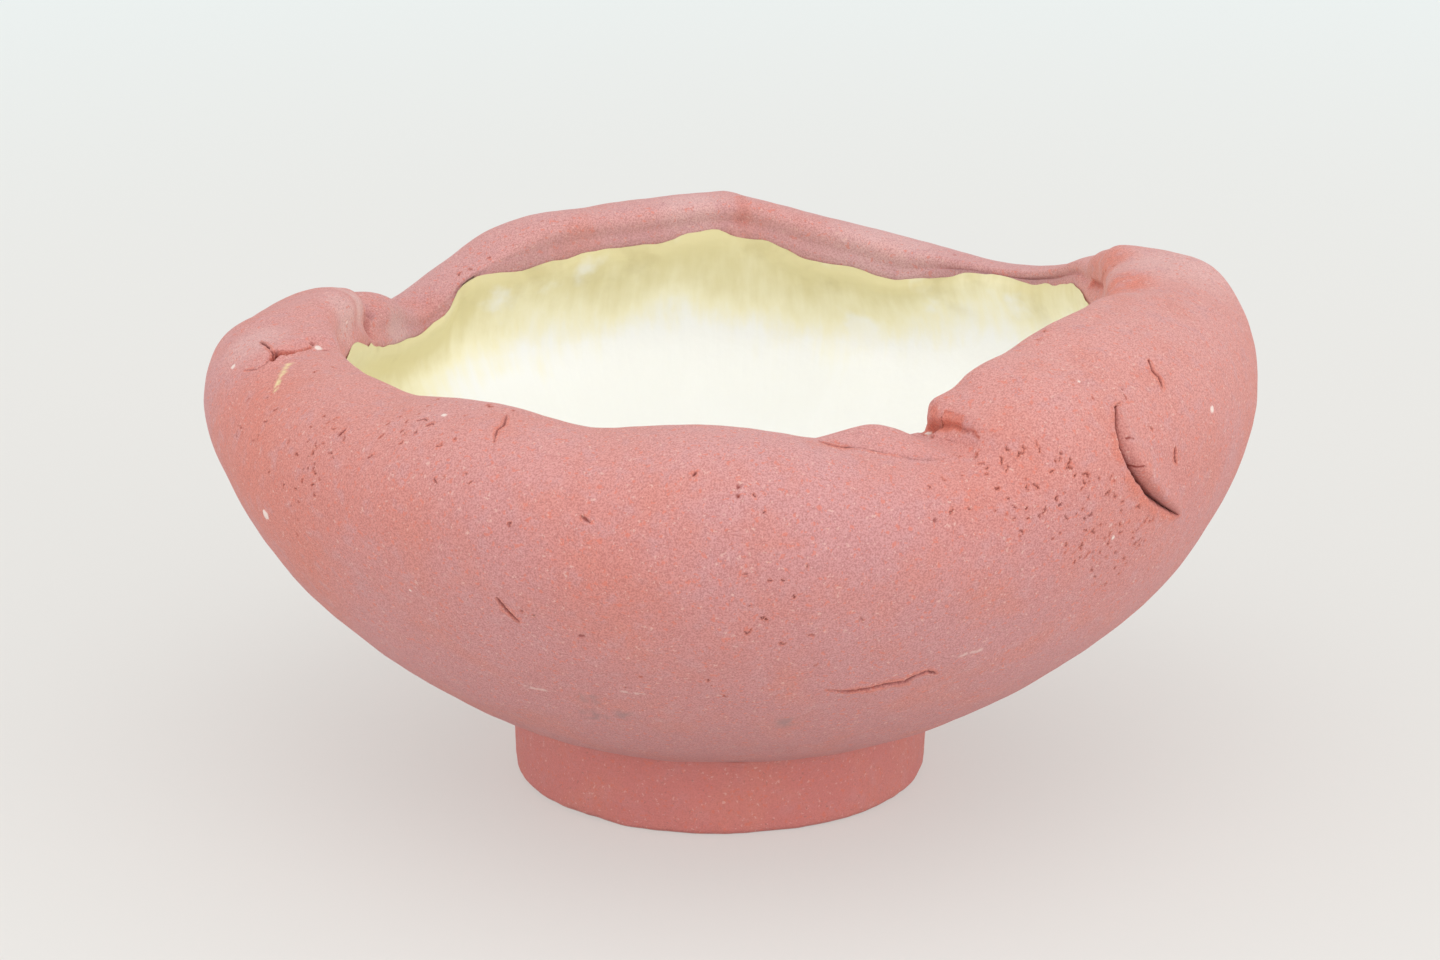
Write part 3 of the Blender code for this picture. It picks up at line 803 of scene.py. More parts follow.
def make_piece(name, points, faces, hidden, finish, tints=None, normals=None):
    """A mesh object in metres that stands for the CAD node of its name without the ending.

    Edges between hidden and visible faces are sharp. normals are vertices with a direction of their own on
    visible faces, and those directions.
    """
    mesh = bpy.data.meshes.new(name)
    mesh.from_pydata((points * MM).tolist(), [], faces)
    mesh.shade_smooth()
    for tint, values in (tints or {}).items():
        mesh.attributes.new(tint, "FLOAT", "POINT").data.foreach_set("value", values.astype(np.float32))
    corners = np.concatenate(faces)
    unseen = np.repeat(hidden, [len(face) for face in faces])
    edge_of = np.zeros(len(corners), np.int32)
    mesh.loops.foreach_get("edge_index", edge_of)
    sides = np.zeros((2, len(mesh.edges)), bool)
    sides[0, edge_of[~unseen]] = True
    sides[1, edge_of[unseen]] = True
    mesh.attributes.new("sharp_edge", "BOOLEAN", "EDGE").data.foreach_set("value", sides.all(0))
    if normals is not None:
        vertices, directions = normals
        table = np.zeros((len(points), 3))
        table[vertices] = directions
        custom = table[corners]
        custom[unseen] = 0
        mesh.normals_split_custom_set(custom.tolist())
    mesh.materials.append(finish)
    piece = bpy.data.objects.new(name, mesh)
    bpy.context.scene.collection.objects.link(piece)
    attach(piece, "root")
    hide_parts(name.removesuffix("_finish"))
    return piece


def clay_piece(name, columns, rows, ring, shown, poles, finish):
    """A piece of the clay skin, closed by its hidden strips and, if it isn't a ring, at its ends."""
    grid = Grid(columns, rows, ring, not ring, flagged(columns, rows, ring, shown[:len(rows) - 1]), poles)
    angle, along = grid.values()
    points, tints = clay_surface(angle, along)
    hidden = ~np.array(shown)[grid.strips]
    faces = list(grid.faces)
    joined = along == JOINT
    if not ring:
        faces += [grid.column(0)[::-1], grid.column(len(columns) - 1)]
        hidden = np.append(hidden, [True, True])
        joined |= (angle == columns[0]) | (angle == columns[-1])
    joined = np.flatnonzero(joined & (along <= LEAF))
    directions = square_to(clay_points, angle[joined], along[joined])
    return make_piece(name, points, faces, hidden, finish, tints, (joined, directions))


def bowl_wall(finish):
    """The pinched bowl: underside, outside, joint face and inside under the gilding."""
    columns = np.arange(0, FULL_TURN, COLUMN_DEGREES)
    outside = even_rows(UNDERSIDE, JOINT, CELL)
    inside = even_rows(INNER_JOINT, FLOOR, HIDDEN_CELL)
    rows = np.concatenate([[MIDDLE_UNDER], outside, inside])
    shown = [True] * len(outside) + [False] * len(inside)
    return clay_piece("bowl_wall_finish", columns, rows, True, shown, (0, len(rows) - 1), finish)


def rim_pad(pad, finish):
    """One pad of the rim, from seam to seam."""
    start, end = RIM_PADS[pad][0][0], RIM_PADS[pad][-1][0]
    columns = np.arange(start, end + COLUMN_DEGREES / 2, COLUMN_DEGREES)
    outside = even_rows(JOINT, CREST, LIP_CELL)
    lip = even_rows(CREST, LEAF, LIP_CELL)
    inside = even_rows(LEAF, INNER_JOINT, HIDDEN_CELL)
    rows = np.concatenate([outside, lip[1:], inside[1:]])
    shown = [True] * (len(rows) - 2) + [False, False]
    return clay_piece(pad + "_finish", columns, rows, False, shown, (), finish)


def plain_piece(name, grid, points, finish, hidden, tints=None):
    """A closed piece on a grid without finer cells, its hidden strips given; open ends are closed."""
    faces = list(grid.faces)
    unseen = np.isin(grid.strips, list(hidden))
    if not grid.width and grid.height:
        faces += [grid.column(0)[::-1], grid.column(len(grid.columns) - 1)]
        unseen = np.append(unseen, [True, True])
    return make_piece(name, points, faces, unseen, finish, tints)


def on_clay(angle, along, lift):
    """Points a little over the clay, following its lumps but not its marks."""
    points = form(angle, along)
    return points + (lift + layered(points, LUMPS))[:, None] * outward(angle, along)


# Strip on the front lip: outer edge and height over the pad by angle, its inner edge, and its cells along and
# across; how far it sinks in under it and at its edges.
STRIP_EDGE = ((281, 0.97), (284.6, 0.9), (289, 0.8), (295, 0.76))
STRIP_HEIGHT = ((281, 0), (285, 1.3), (289.4, 2.2), (292.5, 1.3), (295, 0))
STRIP_INNER_EDGE = 1.75
STRIP_COLUMNS = 60
STRIP_CELLS = 16
STRIP_SUNK = 0.4
STRIP_TUCKED = 0.15
STRIP_DOME = 0.8

# Its crisp outer edge: height, share over which it rises, degrees over which it starts, angle by which it
# ends and degrees over which it does.
CRISP_HEIGHT = 0.5
CRISP_RISE = 0.08
CRISP_START = 1.5
CRISP_END = 290
CRISP_ENDING = 3


def rim_filler(finish):
    """The strip laid on the front lip: a low dome with a crisp outer edge, smeared down by the step."""
    columns = np.linspace(STRIP_EDGE[0][0], STRIP_EDGE[-1][0], STRIP_COLUMNS)
    over = np.linspace(0, 1, STRIP_CELLS + 1)
    grid = Grid(columns, np.concatenate([over, -over[:0:-1]]), False, True)
    angle, across = grid.values()
    share = np.abs(across)
    along = through(STRIP_EDGE, angle) * (1 - share) + STRIP_INNER_EDGE * share
    ends = smooth((CRISP_END - angle) / CRISP_ENDING) * smooth((angle - columns[0]) / CRISP_START)
    crisp = CRISP_HEIGHT * ends * smooth(share / CRISP_RISE)
    arch = np.sin(math.pi * share)
    dome = through(STRIP_HEIGHT, angle) * arch**STRIP_DOME
    lift = np.maximum(crisp * (1 - share), dome) - STRIP_TUCKED * (1 - arch)
    lift = np.where(across >= 0, lift, -STRIP_SUNK)
    lift[share == 0] = -STRIP_TUCKED
    return plain_piece(
        "rim_filler_finish", grid, on_clay(angle, along, lift), finish, range(STRIP_CELLS, 2 * STRIP_CELLS))


# Pressed pad: its width, its rounded side along the seam, heights over and under the clay; cells along and
# across; how far from nothing its width starts at the ends, and how it fills out between them.
PAD_WIDTH = 8
PAD_ROUND = 2.4
PAD_TOP = 1.3
PAD_ROOT = 1.6
PAD_SUNK = 0.12
PAD_DEPTH = 1.7
PAD_ROWS = 97
PAD_COLUMNS = 41
PAD_ENDS = 0.03
PAD_FULLNESS = 0.75

# Painted shade and its reach in the seam and down the pad's side, where shade falls; thin cracks on it, by
# places and half width, and how many half widths their painted shade reaches.
PAD_SHADE = ((0.7, 0.4), (0.3, PAD_ROUND))
PAD_CRACKS = (
    (((314.4, 65.2), (315.3, 65)), 0.12), (((314.3, 61.9), (315.2, 61.4), (316, 61.3)), 0.13),
    (((317.7, 66.7), (318.1, 66.3), (318.2, 65.7)), 0.2))
PAD_CRACK_REACH = 1.6


def thumb_patch(finish):
    """The pad pressed on the right: a rounded side along the open seam, smeared out on the other side."""
    seam = np.array(CRESCENT)
    steps = np.hypot(np.radians(np.diff(seam[:, 0])) * BELLY_RADIUS, np.diff(seam[:, 1]))
    run = np.concatenate([[0], np.cumsum(steps)]) / steps.sum()
    over = np.linspace(0, 1, PAD_COLUMNS)
    grid = Grid(np.linspace(0, 1, PAD_ROWS), np.concatenate([over, -over[:0:-1]]), False, True)
    down, across = grid.values()
    share = np.abs(across)
    swell = np.sin(math.pi * (PAD_ENDS + (1 - 2 * PAD_ENDS) * down))
    reach = PAD_WIDTH * swell**PAD_FULLNESS
    distance = share * reach
    azimuth, height = [through(np.stack([run, values], 1), down) for values in seam.T]
    azimuth = azimuth + np.degrees(distance / BELLY_RADIUS)
    angle, along = spots(np.stack([azimuth, height], 1), "height")
    climb = np.sqrt(1 - (1 - np.clip(distance / np.minimum(PAD_ROUND, reach / 2), 0, 1)) ** 2)
    top = PAD_TOP * np.sqrt(swell)
    root = PAD_ROOT * np.sqrt(swell)
    lift = (root + top) * climb - root - (top + PAD_SUNK) * smooth(share)
    lift = np.where(across < 0, np.minimum(lift, -PAD_DEPTH), lift)
    # Painted shade in the seam, down the rounded side and in the thin cracks on it.
    shade_strength = sum(most * smooth(1 - distance / far) for most, far in PAD_SHADE)
    shade_strength = np.sqrt(swell) * np.minimum(shade_strength, 1)
    points = form(angle, along)
    for line, width in PAD_CRACKS:
        off = ragged_distance(points, places(line, "height"), width)[0] / width
        shade_strength = np.maximum(shade_strength, smooth(PAD_CRACK_REACH - off))
    return plain_piece(
        "thumb_patch_finish", grid, on_clay(angle, along, lift), finish, range(len(over) - 1, 2 * len(over)),
        tints={"crevice_shade": shade_strength})


# The foot: middle and radius from the part, wall, rounded edge, height of the joint over it, and rows on a
# rounded edge and up a side.
FOOT_LOW, FOOT_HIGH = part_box("foot_ring")
FOOT_MIDDLE = (FOOT_LOW.x + FOOT_HIGH.x) / 2 / MM
FOOT_RADIUS = (FOOT_HIGH.x - FOOT_LOW.x) / 2 / MM
FOOT_WALL = 7
FOOT_EDGE = 1.2
FOOT_JOINT = 1.4
FOOT_LUMPS = ((16, 0.3), (5, 0.12), (1.8, 0.05))
FOOT_EDGE_LUMPS = ((9, 0.5), (2.5, 0.2))
EDGE_ROWS = 7
SIDE_ROWS = 15


def belly_height(radius):
    return belly_point(np.arcsin((radius / BELLY_RADIUS) ** (BELLY_POWER / 2)))[..., 1]


def level_way(turn):
    return np.stack([np.cos(turn), np.sin(turn), np.zeros(turn.shape)], -1)


def foot_points(turn, radius, height, free):
    """Points of the foot about its own middle, with lumps where its side is free to be lumpy."""
    points = level_way(turn) * radius[:, None]
    points += np.stack([np.full(turn.shape, FOOT_MIDDLE), np.zeros(turn.shape), height], -1)
    return points + (free * layered(points, FOOT_LUMPS))[:, None] * level_way(turn)


def over_foot(turn, radius):
    """Height of the belly over a point of the foot."""
    return belly_height(np.hypot(FOOT_MIDDLE + radius * np.cos(turn), radius * np.sin(turn)))


def ring_of(rows):
    """Grid of a closed ring with a row for each (name, share), and turn, name and share of its vertices."""
    grid = Grid(np.arange(0, FULL_TURN, LINING_COLUMN_DEGREES), np.arange(len(rows)), True, True)
    angle, row = grid.values()
    row = row.astype(int)
    names, shares = zip(*rows)
    return grid, np.radians(angle), np.array(names)[row], np.array(shares)[row]


def foot_ring(finish):
    """The ring foot: a nearly upright side, uneven rounded edges and a flat underside."""
    bends = np.linspace(0, 1, EDGE_ROWS)
    climbs = np.linspace(0, 1, SIDE_ROWS)
    rows = [("outer edge", k) for k in bends] + [("outer side", k) for k in climbs[1:]]
    rows += [("inner side", k) for k in climbs[::-1]] + [("inner edge", k) for k in bends[-2::-1]]
    grid, turn, name, share = ring_of(rows)
    outer = np.char.startswith(name, "outer")
    bent = np.char.endswith(name, "edge")
    edge = FOOT_EDGE * (1 + layered(level_way(turn) * FOOT_RADIUS, FOOT_EDGE_LUMPS))
    inset = np.where(bent, edge * (1 - np.sin(share * math.pi / 2)), 0)
    radius = np.where(outer, FOOT_RADIUS - inset, FOOT_RADIUS - FOOT_WALL + inset)
    top = over_foot(turn, radius) - FOOT_JOINT
    height = np.where(bent, edge * (1 - np.cos(share * math.pi / 2)), edge + share * (top - edge))
    points = foot_points(turn, radius, height, outer)
    return plain_piece("foot_ring_finish", grid, points, finish, [EDGE_ROWS + SIDE_ROWS - 2])


# The slip: its fillet on the belly and how fast that narrows, how far it sinks into the belly, and its rows.
SLIP_FILLET = 0.7
SLIP_FILLET_POWER = 4
SLIP_SUNK = 0.3
SLIP_ROWS = 7


def slip_bed(finish):
    """The slip in the joint over the foot, wiped flush with its side and drawn up the belly in a fillet."""
    climbs = np.linspace(0, 1, SLIP_ROWS)
    grid, turn, name, share = ring_of([("outer", k) for k in climbs] + [("inner", k) for k in climbs[::-1]])
    outer = name == "outer"
    fillet = SLIP_FILLET * share**SLIP_FILLET_POWER
    radius = np.where(outer, FOOT_RADIUS + fillet, FOOT_RADIUS - FOOT_WALL - fillet)
    foot = over_foot(turn, np.where(outer, FOOT_RADIUS, FOOT_RADIUS - FOOT_WALL)) - FOOT_JOINT
    height = foot + share * (over_foot(turn, radius) + SLIP_SUNK - foot)
    points = foot_points(turn, radius, height, outer)
    hidden = [SLIP_ROWS - 1, 2 * SLIP_ROWS - 1]
    return plain_piece("slip_bed_finish", grid, points, finish, hidden)


# The gilding: size of its cells, lift over the clay at and inside its edge and over what share it is reached,
# wrinkles, and raggedness of its edge.
LEAF_CELL = 1.1
LEAF_BACK_CELL = 5
LEAF_EDGE_LIFT = 0.06
LEAF_LIFT = 0.5
LEAF_LIFTED_OVER = 0.12
LEAF_BACK_LIFT = 0.02
LEAF_WRINKLES = ((19, 0.45), (8, 0.14), (3.5, 0.05))
LEAF_EDGE_IN = 0.04
LEAF_EDGE_RAGS = ((9, 0.07), (3, 0.03))

# Rounding of its bend under the lip: reach in millimetres each way, stretch from the ends of the section over
# which it comes in, and points in the mean.
LEAF_SOFTENED = 7
SOFTENED_OVER = 1.5 * LEAF_SOFTENED
SOFTENED_POINTS = 7


def inside_rows(cell):
    """Shares from the edge of the gilding to the middle of the floor."""
    return np.concatenate([even_rows(LEAF, INNER_JOINT, cell), even_rows(INNER_JOINT, FLOOR, cell)[1:]])


def softened(angle, along):
    """Points of the inside, its bend under the lip made rounder by a mean over a stretch of the section."""
    shares = inside_rows(1)
    run = np.arange(len(shares))
    at = np.interp(along, shares, run)
    reach = LEAF_SOFTENED * smooth(at / SOFTENED_OVER) * smooth((run[-1] - at) / SOFTENED_OVER)
    steps = np.linspace(-1, 1, SOFTENED_POINTS)
    return sum(form(angle, np.interp(at + step * reach, run, shares)) for step in steps) / len(steps)


def leaf_lining(finish):
    """The gilding: a thin wrinkled skin from a ragged edge under the lip to the middle of the floor."""
    front = inside_rows(LEAF_CELL)
    rows = np.concatenate([front, -inside_rows(LEAF_BACK_CELL)[::-1]])
    columns = np.arange(0, FULL_TURN, LINING_COLUMN_DEGREES)
    grid = Grid(columns, rows, True, True, poles=(len(front) - 1, len(front)))
    angle, along = grid.values()
    behind, along = along < 0, np.abs(along)
    edge = form(angle, np.full(angle.shape, float(LEAF)))
    inside = along - LEAF
    along = along + (LEAF_EDGE_IN + layered(edge, LEAF_EDGE_RAGS)) * np.clip(1 - inside, 0, 1)
    points = np.where(behind[:, None], form(angle, along), softened(angle, along))
    points = points + clay_relief(points, along)[0][:, None] * outward(angle, along)
    full_lift = LEAF_LIFT - LEAF_EDGE_LIFT + layered(points, LEAF_WRINKLES)
    lift = LEAF_EDGE_LIFT + full_lift * smooth(inside / LEAF_LIFTED_OVER)
    points = points + np.where(behind, LEAF_BACK_LIFT, lift)[:, None] * outward(angle, along)
    piece = plain_piece(
        "leaf_lining_finish", grid, points, finish, range(len(front) - 1, len(grid.rows)),
        {"depth": inside / (FLOOR - LEAF)})
    around = level_way(np.arctan2(points[:, 1], points[:, 0]))
    around[:, 2] = inside
    piece.data.attributes.new("around", "FLOAT_VECTOR", "POINT").data.foreach_set("vector", around.ravel())
    return piece


class Shader:
    """The nodes of a material or a world, each made with its values and links in one call."""

    def __init__(self, owner, surface="Principled BSDF"):
        owner.use_nodes = True
        self.owner = owner
        self.tree = owner.node_tree
        self.surface = self.tree.nodes[surface]

    def feed(self, node, values):
        for name, value in values.items():
            socket = node.inputs[name]
            if isinstance(value, bpy.types.NodeSocket):
                self.tree.links.new(value, socket)
            else:
                socket.default_value = value

    def node(self, kind, values, output=0, **settings):
        made = self.tree.nodes.new("ShaderNode" + kind)
        for name, value in settings.items():
            setattr(made, name, value)
        self.feed(made, values)
        return made.outputs[output]

    def place(self):
        return self.node("TexCoord", {}, "Object")

    def part(self, vector, axis):
        return self.node("SeparateXYZ", {"Vector": vector}, axis)

    def attribute(self, name, output="Fac"):
        return self.node("Attribute", {}, output, attribute_name=name)

    def cloud(self, at, scale, detail=2):
        return self.node("TexNoise", {"Vector": at, "Scale": scale, "Detail": detail})

    def level(self, value, low, high, most=1):
        """0 at low, most at high, smooth between."""
        values = {"Value": value, "From Min": low, "From Max": high, "To Max": most}
        return self.node("MapRange", values, interpolation_type="SMOOTHSTEP")

    def patches(self, at, scale, detail, low, high, most=1):
        return self.level(self.cloud(at, scale, detail), low, high, most)

    def spread(self, value, low, high):
        return self.node("MapRange", {"Value": value, "To Min": low, "To Max": high})

    def cells(self, at, scale):
        """Distance from the middle of the nearest cell of a scattering, and that cell's lot."""
        distance = self.node("TexVoronoi", {"Vector": at, "Scale": scale}, "Distance")
        return distance, self.node("SeparateColor", {"Color": distance.node.outputs["Color"]}, "Red")

    def sum(self, first, second, way="ADD"):
        return self.node("Math", {0: first, 1: second}, operation=way)

    def times(self, first, second):
        return self.sum(first, second, "MULTIPLY")

    def swing(self, cloud, by):
        """A cloud's swing about its middle, times a number."""
        return self.times(self.sum(cloud, 0.5, "SUBTRACT"), by)

    def mix(self, share, first, second, way="MIX"):
        made = self.tree.nodes.new("ShaderNodeMix")
        made.data_type = "RGBA"
        made.blend_type = way
        share_socket, first_socket, second_socket, result = 0, 6, 7, 2
        self.feed(made, {share_socket: share, first_socket: first, second_socket: second})
        return made.outputs[result]

    def bump(self, height, strength):
        return self.node("Bump", {"Strength": strength, "Distance": BUMP_HEIGHT, "Height": height}, "Normal")

    def seen(self):
        """1 for rays that see the background as it is painted: straight, mirrored or through glass."""
        path = self.node("LightPath", {}).node.outputs
        rays = self.sum(path["Is Camera Ray"], path["Is Glossy Ray"], "MAXIMUM")
        return self.sum(rays, path["Is Transmission Ray"], "MAXIMUM")

    def shown(self, output, share, other):
        """Another shader mixed over the surface by a share."""
        values = {0: share, 1: self.surface.outputs[0], 2: other}
        self.feed(self.tree.nodes[output], {"Surface": self.node("MixShader", values)})


BUMP_HEIGHT = 0.0004

ROSE = (0.69, 0.268, 0.228, 1)
MAUVE = (0.66, 0.314, 0.308, 1)
LOW_BELLY = (0.64, 0.295, 0.292, 1)
BACK_MAUVE = (0.69, 0.375, 0.365, 1)
# Paler clay towards the top of the rim: painted highlight.
PALER_TOP = (0.77, 0.40, 0.37, 1)
# Paler clay; on the side of the knob it is a painted highlight.
PALER_PATCH = (0.80, 0.54, 0.52, 1)
BRICK = (0.68, 0.243, 0.218, 1)
BRICK_PALE = (0.69, 0.266, 0.242, 1)
WARM = (0.71, 0.27, 0.215, 1)
COOL = (0.655, 0.34, 0.34, 1)
GRAIN_SHADE = (0.76, 0.65, 0.65, 1)
RED_FLECK = (0.72, 0.20, 0.14, 1)
PALE_FLECK = (0.86, 0.58, 0.50, 1)
DARK_FLECK = (0.44, 0.17, 0.155, 1)
WHITE_GRAIN = (0.88, 0.72, 0.66, 1)
# Painted shade for cracks, pits, folds and the pressed pad's side.
CREVICE_SHADE = (0.24, 0.03, 0.02, 1)
# Redder clay; in the rim's hollows it is also painted shade.
RED_FLUSH_AND_SHADE = (0.74, 0.225, 0.155, 1)
PALE_MARK = (0.86, 0.70, 0.64, 1)
# Grey of the slip smears, also painted shade on the inside of the back lip.
GREY_SMEAR_AND_SHADE = (0.36, 0.22, 0.22, 1)
RUBBED_GOLD = (0.84, 0.66, 0.36, 1)

# Flecks: colour, number to a metre, level of the noise from which they show, strength; span of the levels.
FLECKS = ((RED_FLECK, 1400, 0.6, 0.6), (PALE_FLECK, 1900, 0.63, 0.45), (DARK_FLECK, 2300, 0.64, 0.65))
FLECK_SPAN = 0.07

# Scattered white grains: size in their cell, lot from which a cell has one, how far they are bent.
GRAIN_SIZE = 0.07
GRAIN_LOT = 0.945
GRAIN_BENT = (0.0006, 0.0006, 0.0006)


def clay_material(name, rose, mauve, low, paler_top, sandy):
    """Matt grogged clay: broad patches, mottling, fine flecks, a few grains, and the tints of the marks."""
    shader = Shader(bpy.data.materials.new(name))
    at = shader.place()
    height = shader.part(at, "Z")
    colour = shader.mix(shader.patches(at, scale=22, detail=2, low=0.4, high=0.62), rose, mauve)
    colour = shader.mix(shader.level(height, low=0.058, high=0.022), colour, low)
    back = shader.level(shader.part(at, "Y"), low=0, high=0.05, most=0.8 * sandy)
    back = shader.times(back, shader.level(height, low=0.03, high=0.055))
    colour = shader.mix(back, colour, BACK_MAUVE)
    # Paler towards the top of the rim, where light from above falls: painted highlight.
    colour = shader.mix(shader.level(height, low=0.054, high=0.076, most=paler_top), colour, PALER_TOP)
    warm = shader.patches(at, scale=120, detail=3, low=0.45, high=0.72, most=0.5)
    colour = shader.mix(warm, colour, WARM)
    # Paler patches; the one on the side of the knob is a painted highlight.
    colour = shader.mix(shader.attribute("paler_patch"), colour, PALER_PATCH)
    # Redder clay, partly painted shade in the rim's hollows.
    colour = shader.mix(shader.attribute("flush"), colour, RED_FLUSH_AND_SHADE)
    mottle = shader.cloud(at, scale=420, detail=4)
    colour = shader.mix(shader.level(mottle, low=0.5, high=0.7, most=0.5 * sandy), colour, COOL)
    sand = shader.cloud(at, scale=4300, detail=3)
    shade = shader.level(sand, low=0.4, high=0.64, most=0.9 * sandy)
    colour = shader.mix(shade, colour, GRAIN_SHADE, "MULTIPLY")
    for fleck, scale, level, most in FLECKS:
        share = shader.patches(at, scale, detail=3, low=level, high=level + FLECK_SPAN, most=most)
        colour = shader.mix(share, colour, fleck)
    bent = {0: shader.cloud(at, scale=1600), 1: GRAIN_BENT, 2: at}
    bent = shader.node("VectorMath", bent, operation="MULTIPLY_ADD")
    distance, lot = shader.cells(bent, scale=240)
    grain = shader.level(distance, low=GRAIN_SIZE, high=0.7 * GRAIN_SIZE)
    lot = shader.level(lot, low=GRAIN_LOT, high=GRAIN_LOT + 0.02, most=0.8)
    colour = shader.mix(shader.times(grain, lot), colour, WHITE_GRAIN)
    # Tints of the marks: grey smears with painted shade on the back lip, painted shade in hollows, pale
    # marks, rubbed gold.
    marks = {"smear_and_shade": GREY_SMEAR_AND_SHADE, "crevice_shade": CREVICE_SHADE, "pale": PALE_MARK, "gold": RUBBED_GOLD}
    for tint, tint_colour in marks.items():
        colour = shader.mix(shader.attribute(tint), colour, tint_colour)
    shader.feed(shader.surface, {
        "Base Color": colour, "Roughness": shader.spread(mottle, low=0.95, high=0.82),
        "Normal": shader.bump(shader.sum(sand, mottle), strength=0.5), "Specular IOR Level": 0.4,
        "Sheen Weight": 0.12, "Sheen Roughness": 0.6, "Sheen Tint": (1, 0.9, 0.88, 1)})
    return shader.owner


# Leaf colours: the ochre under the lip is painted shade, and the near-white pale is a painted reflection of
# the light.
OCHRE_LEAF = (0.79, 0.72, 0.42, 1)
OLIVE_LEAF = (0.66, 0.58, 0.31, 1)
GOLD_LEAF = (0.93, 0.89, 0.66, 1)
PALE_LEAF = (0.93, 0.94, 0.935, 1)

# How close the brushed streaks lie round the bowl and down its wall.
LEAF_STREAKS = (34, 34, 2.2)

# How much rougher one sheet of leaf is than another.
SHEET_ROUGHNESS = 0.1


def leaf_material(name):
    """Glossy pale gold leaf: ochre and blotchy under the lip, paler down the wall, with brushed streaks."""
    shader = Shader(bpy.data.materials.new(name))
    at = shader.place()
    depth = shader.attribute("depth")
    drawn = {0: shader.attribute("around", "Vector"), 1: LEAF_STREAKS}
    drawn = shader.node("VectorMath", drawn, operation="MULTIPLY")
    streaks = shader.cloud(drawn, scale=1, detail=4)
    blotches = shader.cloud(at, scale=60, detail=5)
    uneven = shader.sum(depth, shader.swing(blotches, by=0.55))
    uneven = shader.sum(uneven, shader.swing(streaks, by=0.2))
    side = shader.part(at, "X")
    uneven = shader.sum(uneven, shader.level(side, low=-0.025, high=-0.055, most=0.25), "SUBTRACT")
    uneven = shader.sum(uneven, shader.level(side, low=0.02, high=0.05, most=0.12))
    # Ochre under the lip to pale down the wall: painted shade under the lip, painted reflection of the light
    # lower down.
    colour = shader.mix(shader.level(uneven, low=0.05, high=0.32), OCHRE_LEAF, GOLD_LEAF)
    colour = shader.mix(shader.level(uneven, low=0.24, high=0.5), colour, PALE_LEAF)
    # Olive blotches under the lip: partly tarnish, partly painted shade.
    tarnish_and_shade = shader.patches(at, scale=140, detail=5, low=0.5, high=0.72, most=0.7)
    tarnish_and_shade = shader.times(tarnish_and_shade, shader.level(depth, low=0.3, high=0))
    colour = shader.mix(tarnish_and_shade, colour, OLIVE_LEAF)
    # Scattered pale patches: painted glints.
    pale = shader.patches(at, scale=95, detail=4, low=0.58, high=0.72, most=0.6)
    colour = shader.mix(pale, colour, PALE_LEAF)
    sheet = shader.times(shader.cells(at, scale=55)[1], SHEET_ROUGHNESS)
    roughness = shader.sum(shader.spread(blotches, low=0.5, high=0.75), sheet)
    relief = shader.sum(shader.cloud(at, scale=420, detail=4), streaks)
    shader.feed(shader.surface, {
        "Base Color": colour, "Metallic": 0.45, "Roughness": roughness,
        "Normal": shader.bump(relief, strength=0.25)})
    return shader.owner


# The floor: colours near and far, share that shows its own colour whatever light falls on it, half its width.
FLOOR_NEAR = (0.805, 0.795, 0.765, 1)
FLOOR_FAR = (0.88, 0.965, 0.965, 1)
FLOOR_SHOWN = 0.52
FLOOR_HALF = 3


def floor_material():
    """Pale paint, a little cooler far away, that partly shows its own colour: the shadow stays soft."""
    shader = Shader(bpy.data.materials.new("floor_paint"))
    far = shader.node("VectorMath", {0: shader.place()}, "Value", operation="LENGTH")
    colour = shader.mix(shader.level(far, low=0.15, high=0.9), FLOOR_NEAR, FLOOR_FAR)
    shader.feed(shader.surface, {"Base Color": colour, "Roughness": 0.6, "Specular IOR Level": 0.1})
    glow = shader.node("Emission", {"Color": colour})
    shader.shown("Material Output", shader.times(shader.seen(), FLOOR_SHOWN), glow)
    return shader.owner


def bowl():
    """All pieces of the bowl."""
    clay = clay_material("clay_finish", ROSE, MAUVE, LOW_BELLY, paler_top=0.6, sandy=1)
    foot_clay = clay_material("foot_clay_finish", BRICK, BRICK_PALE, BRICK, paler_top=0, sandy=0.4)
    bowl_wall(clay)
    for pad in RIM_PADS:
        rim_pad(pad, clay)
    rim_filler(clay)
    thumb_patch(clay)
    foot_ring(foot_clay)
    slip_bed(foot_clay)
    leaf_lining(leaf_material("leaf_finish"))


SKY_SEEN = (0.84, 0.86, 0.85, 1)
SKY_LIGHT = 0.80

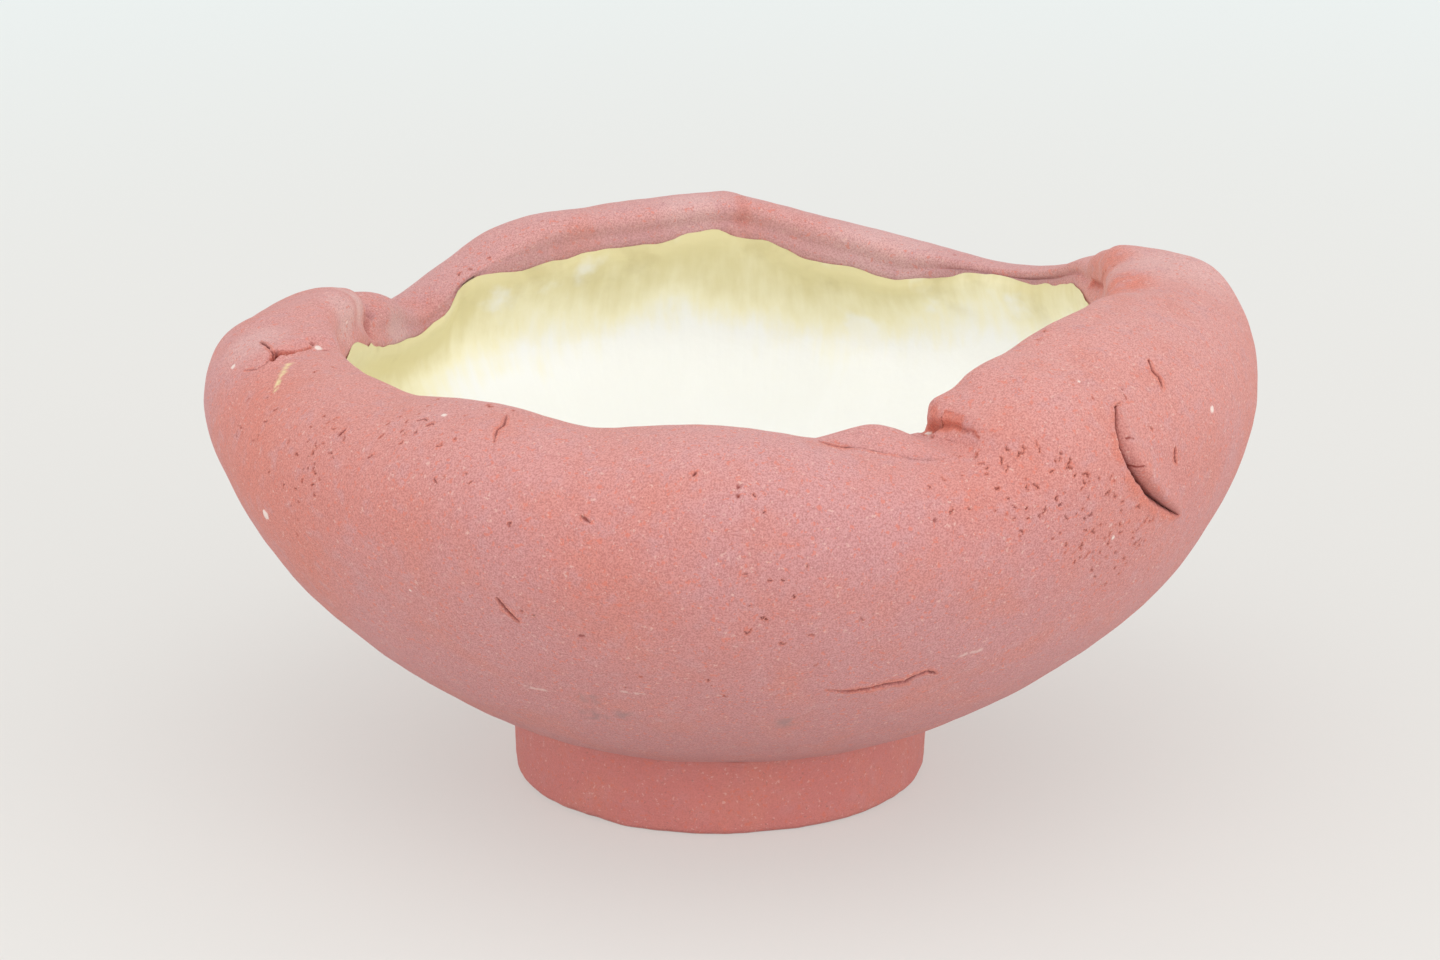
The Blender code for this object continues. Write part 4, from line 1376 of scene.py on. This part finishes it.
# Lamps: name, place, power in watts, size; the point that they face.
LAMPS = (
    ("left_lamp", (-0.55, -0.45, 0.95), 3.1, 1.8), ("right_lamp", (0.55, -0.45, 0.95), 3.7, 1.8),
    ("low_left_lamp", (-0.95, -0.68, 0.4), 1.5, 0.6), ("low_right_lamp", (0.95, -0.68, 0.4), 2.45, 0.6))
LAMP_AIM = Vector((0, 0, 0.04))

# The camera: point that it faces, distance from it, angle over the horizontal, focal length in millimetres.
CAMERA_AIM = (-0.00157, 0, 0.0427)
CAMERA_DISTANCE = 0.65
CAMERA_ELEVATION = math.radians(17.86)
CAMERA_LENS = 113.5


def placed(name, data, location, rotation):
    """An object in the scene."""
    thing = bpy.data.objects.new(name, data)
    thing.location = location
    thing.rotation_euler = rotation
    bpy.context.scene.collection.objects.link(thing)
    return thing


def stage():
    """Floor, light and camera."""
    scene = bpy.context.scene
    mesh = bpy.data.meshes.new("floor")
    corners = ((-1, -1), (1, -1), (1, 1), (-1, 1))
    mesh.from_pydata([(FLOOR_HALF * x, FLOOR_HALF * y, 0) for x, y in corners], [], [(0, 1, 2, 3)])
    mesh.materials.append(floor_material())
    placed("floor", mesh, (0, 0, 0), (0, 0, 0))
    sky = Shader(bpy.data.worlds.new("studio"), "Background")
    scene.world = sky.owner
    sky.feed(sky.surface, {"Color": (1, 1, 1, 1), "Strength": SKY_LIGHT})
    sky.shown("World Output", sky.seen(), sky.node("Background", {"Color": SKY_SEEN}))
    for name, place, power, size in LAMPS:
        lamp = bpy.data.lights.new(name, "AREA")
        lamp.energy = power
        lamp.size = size
        placed(name, lamp, place, (LAMP_AIM - Vector(place)).to_track_quat("-Z", "Y").to_euler())
    x, y, z = CAMERA_AIM
    back = CAMERA_DISTANCE * math.cos(CAMERA_ELEVATION)
    eye = (x, y - back, z + CAMERA_DISTANCE * math.sin(CAMERA_ELEVATION))
    camera = placed("camera", bpy.data.cameras.new("camera"), eye, (math.pi / 2 - CAMERA_ELEVATION, 0, 0))
    camera.data.lens = CAMERA_LENS
    scene.camera = camera
    scene.view_settings.view_transform = "Standard"


bowl()
stage()
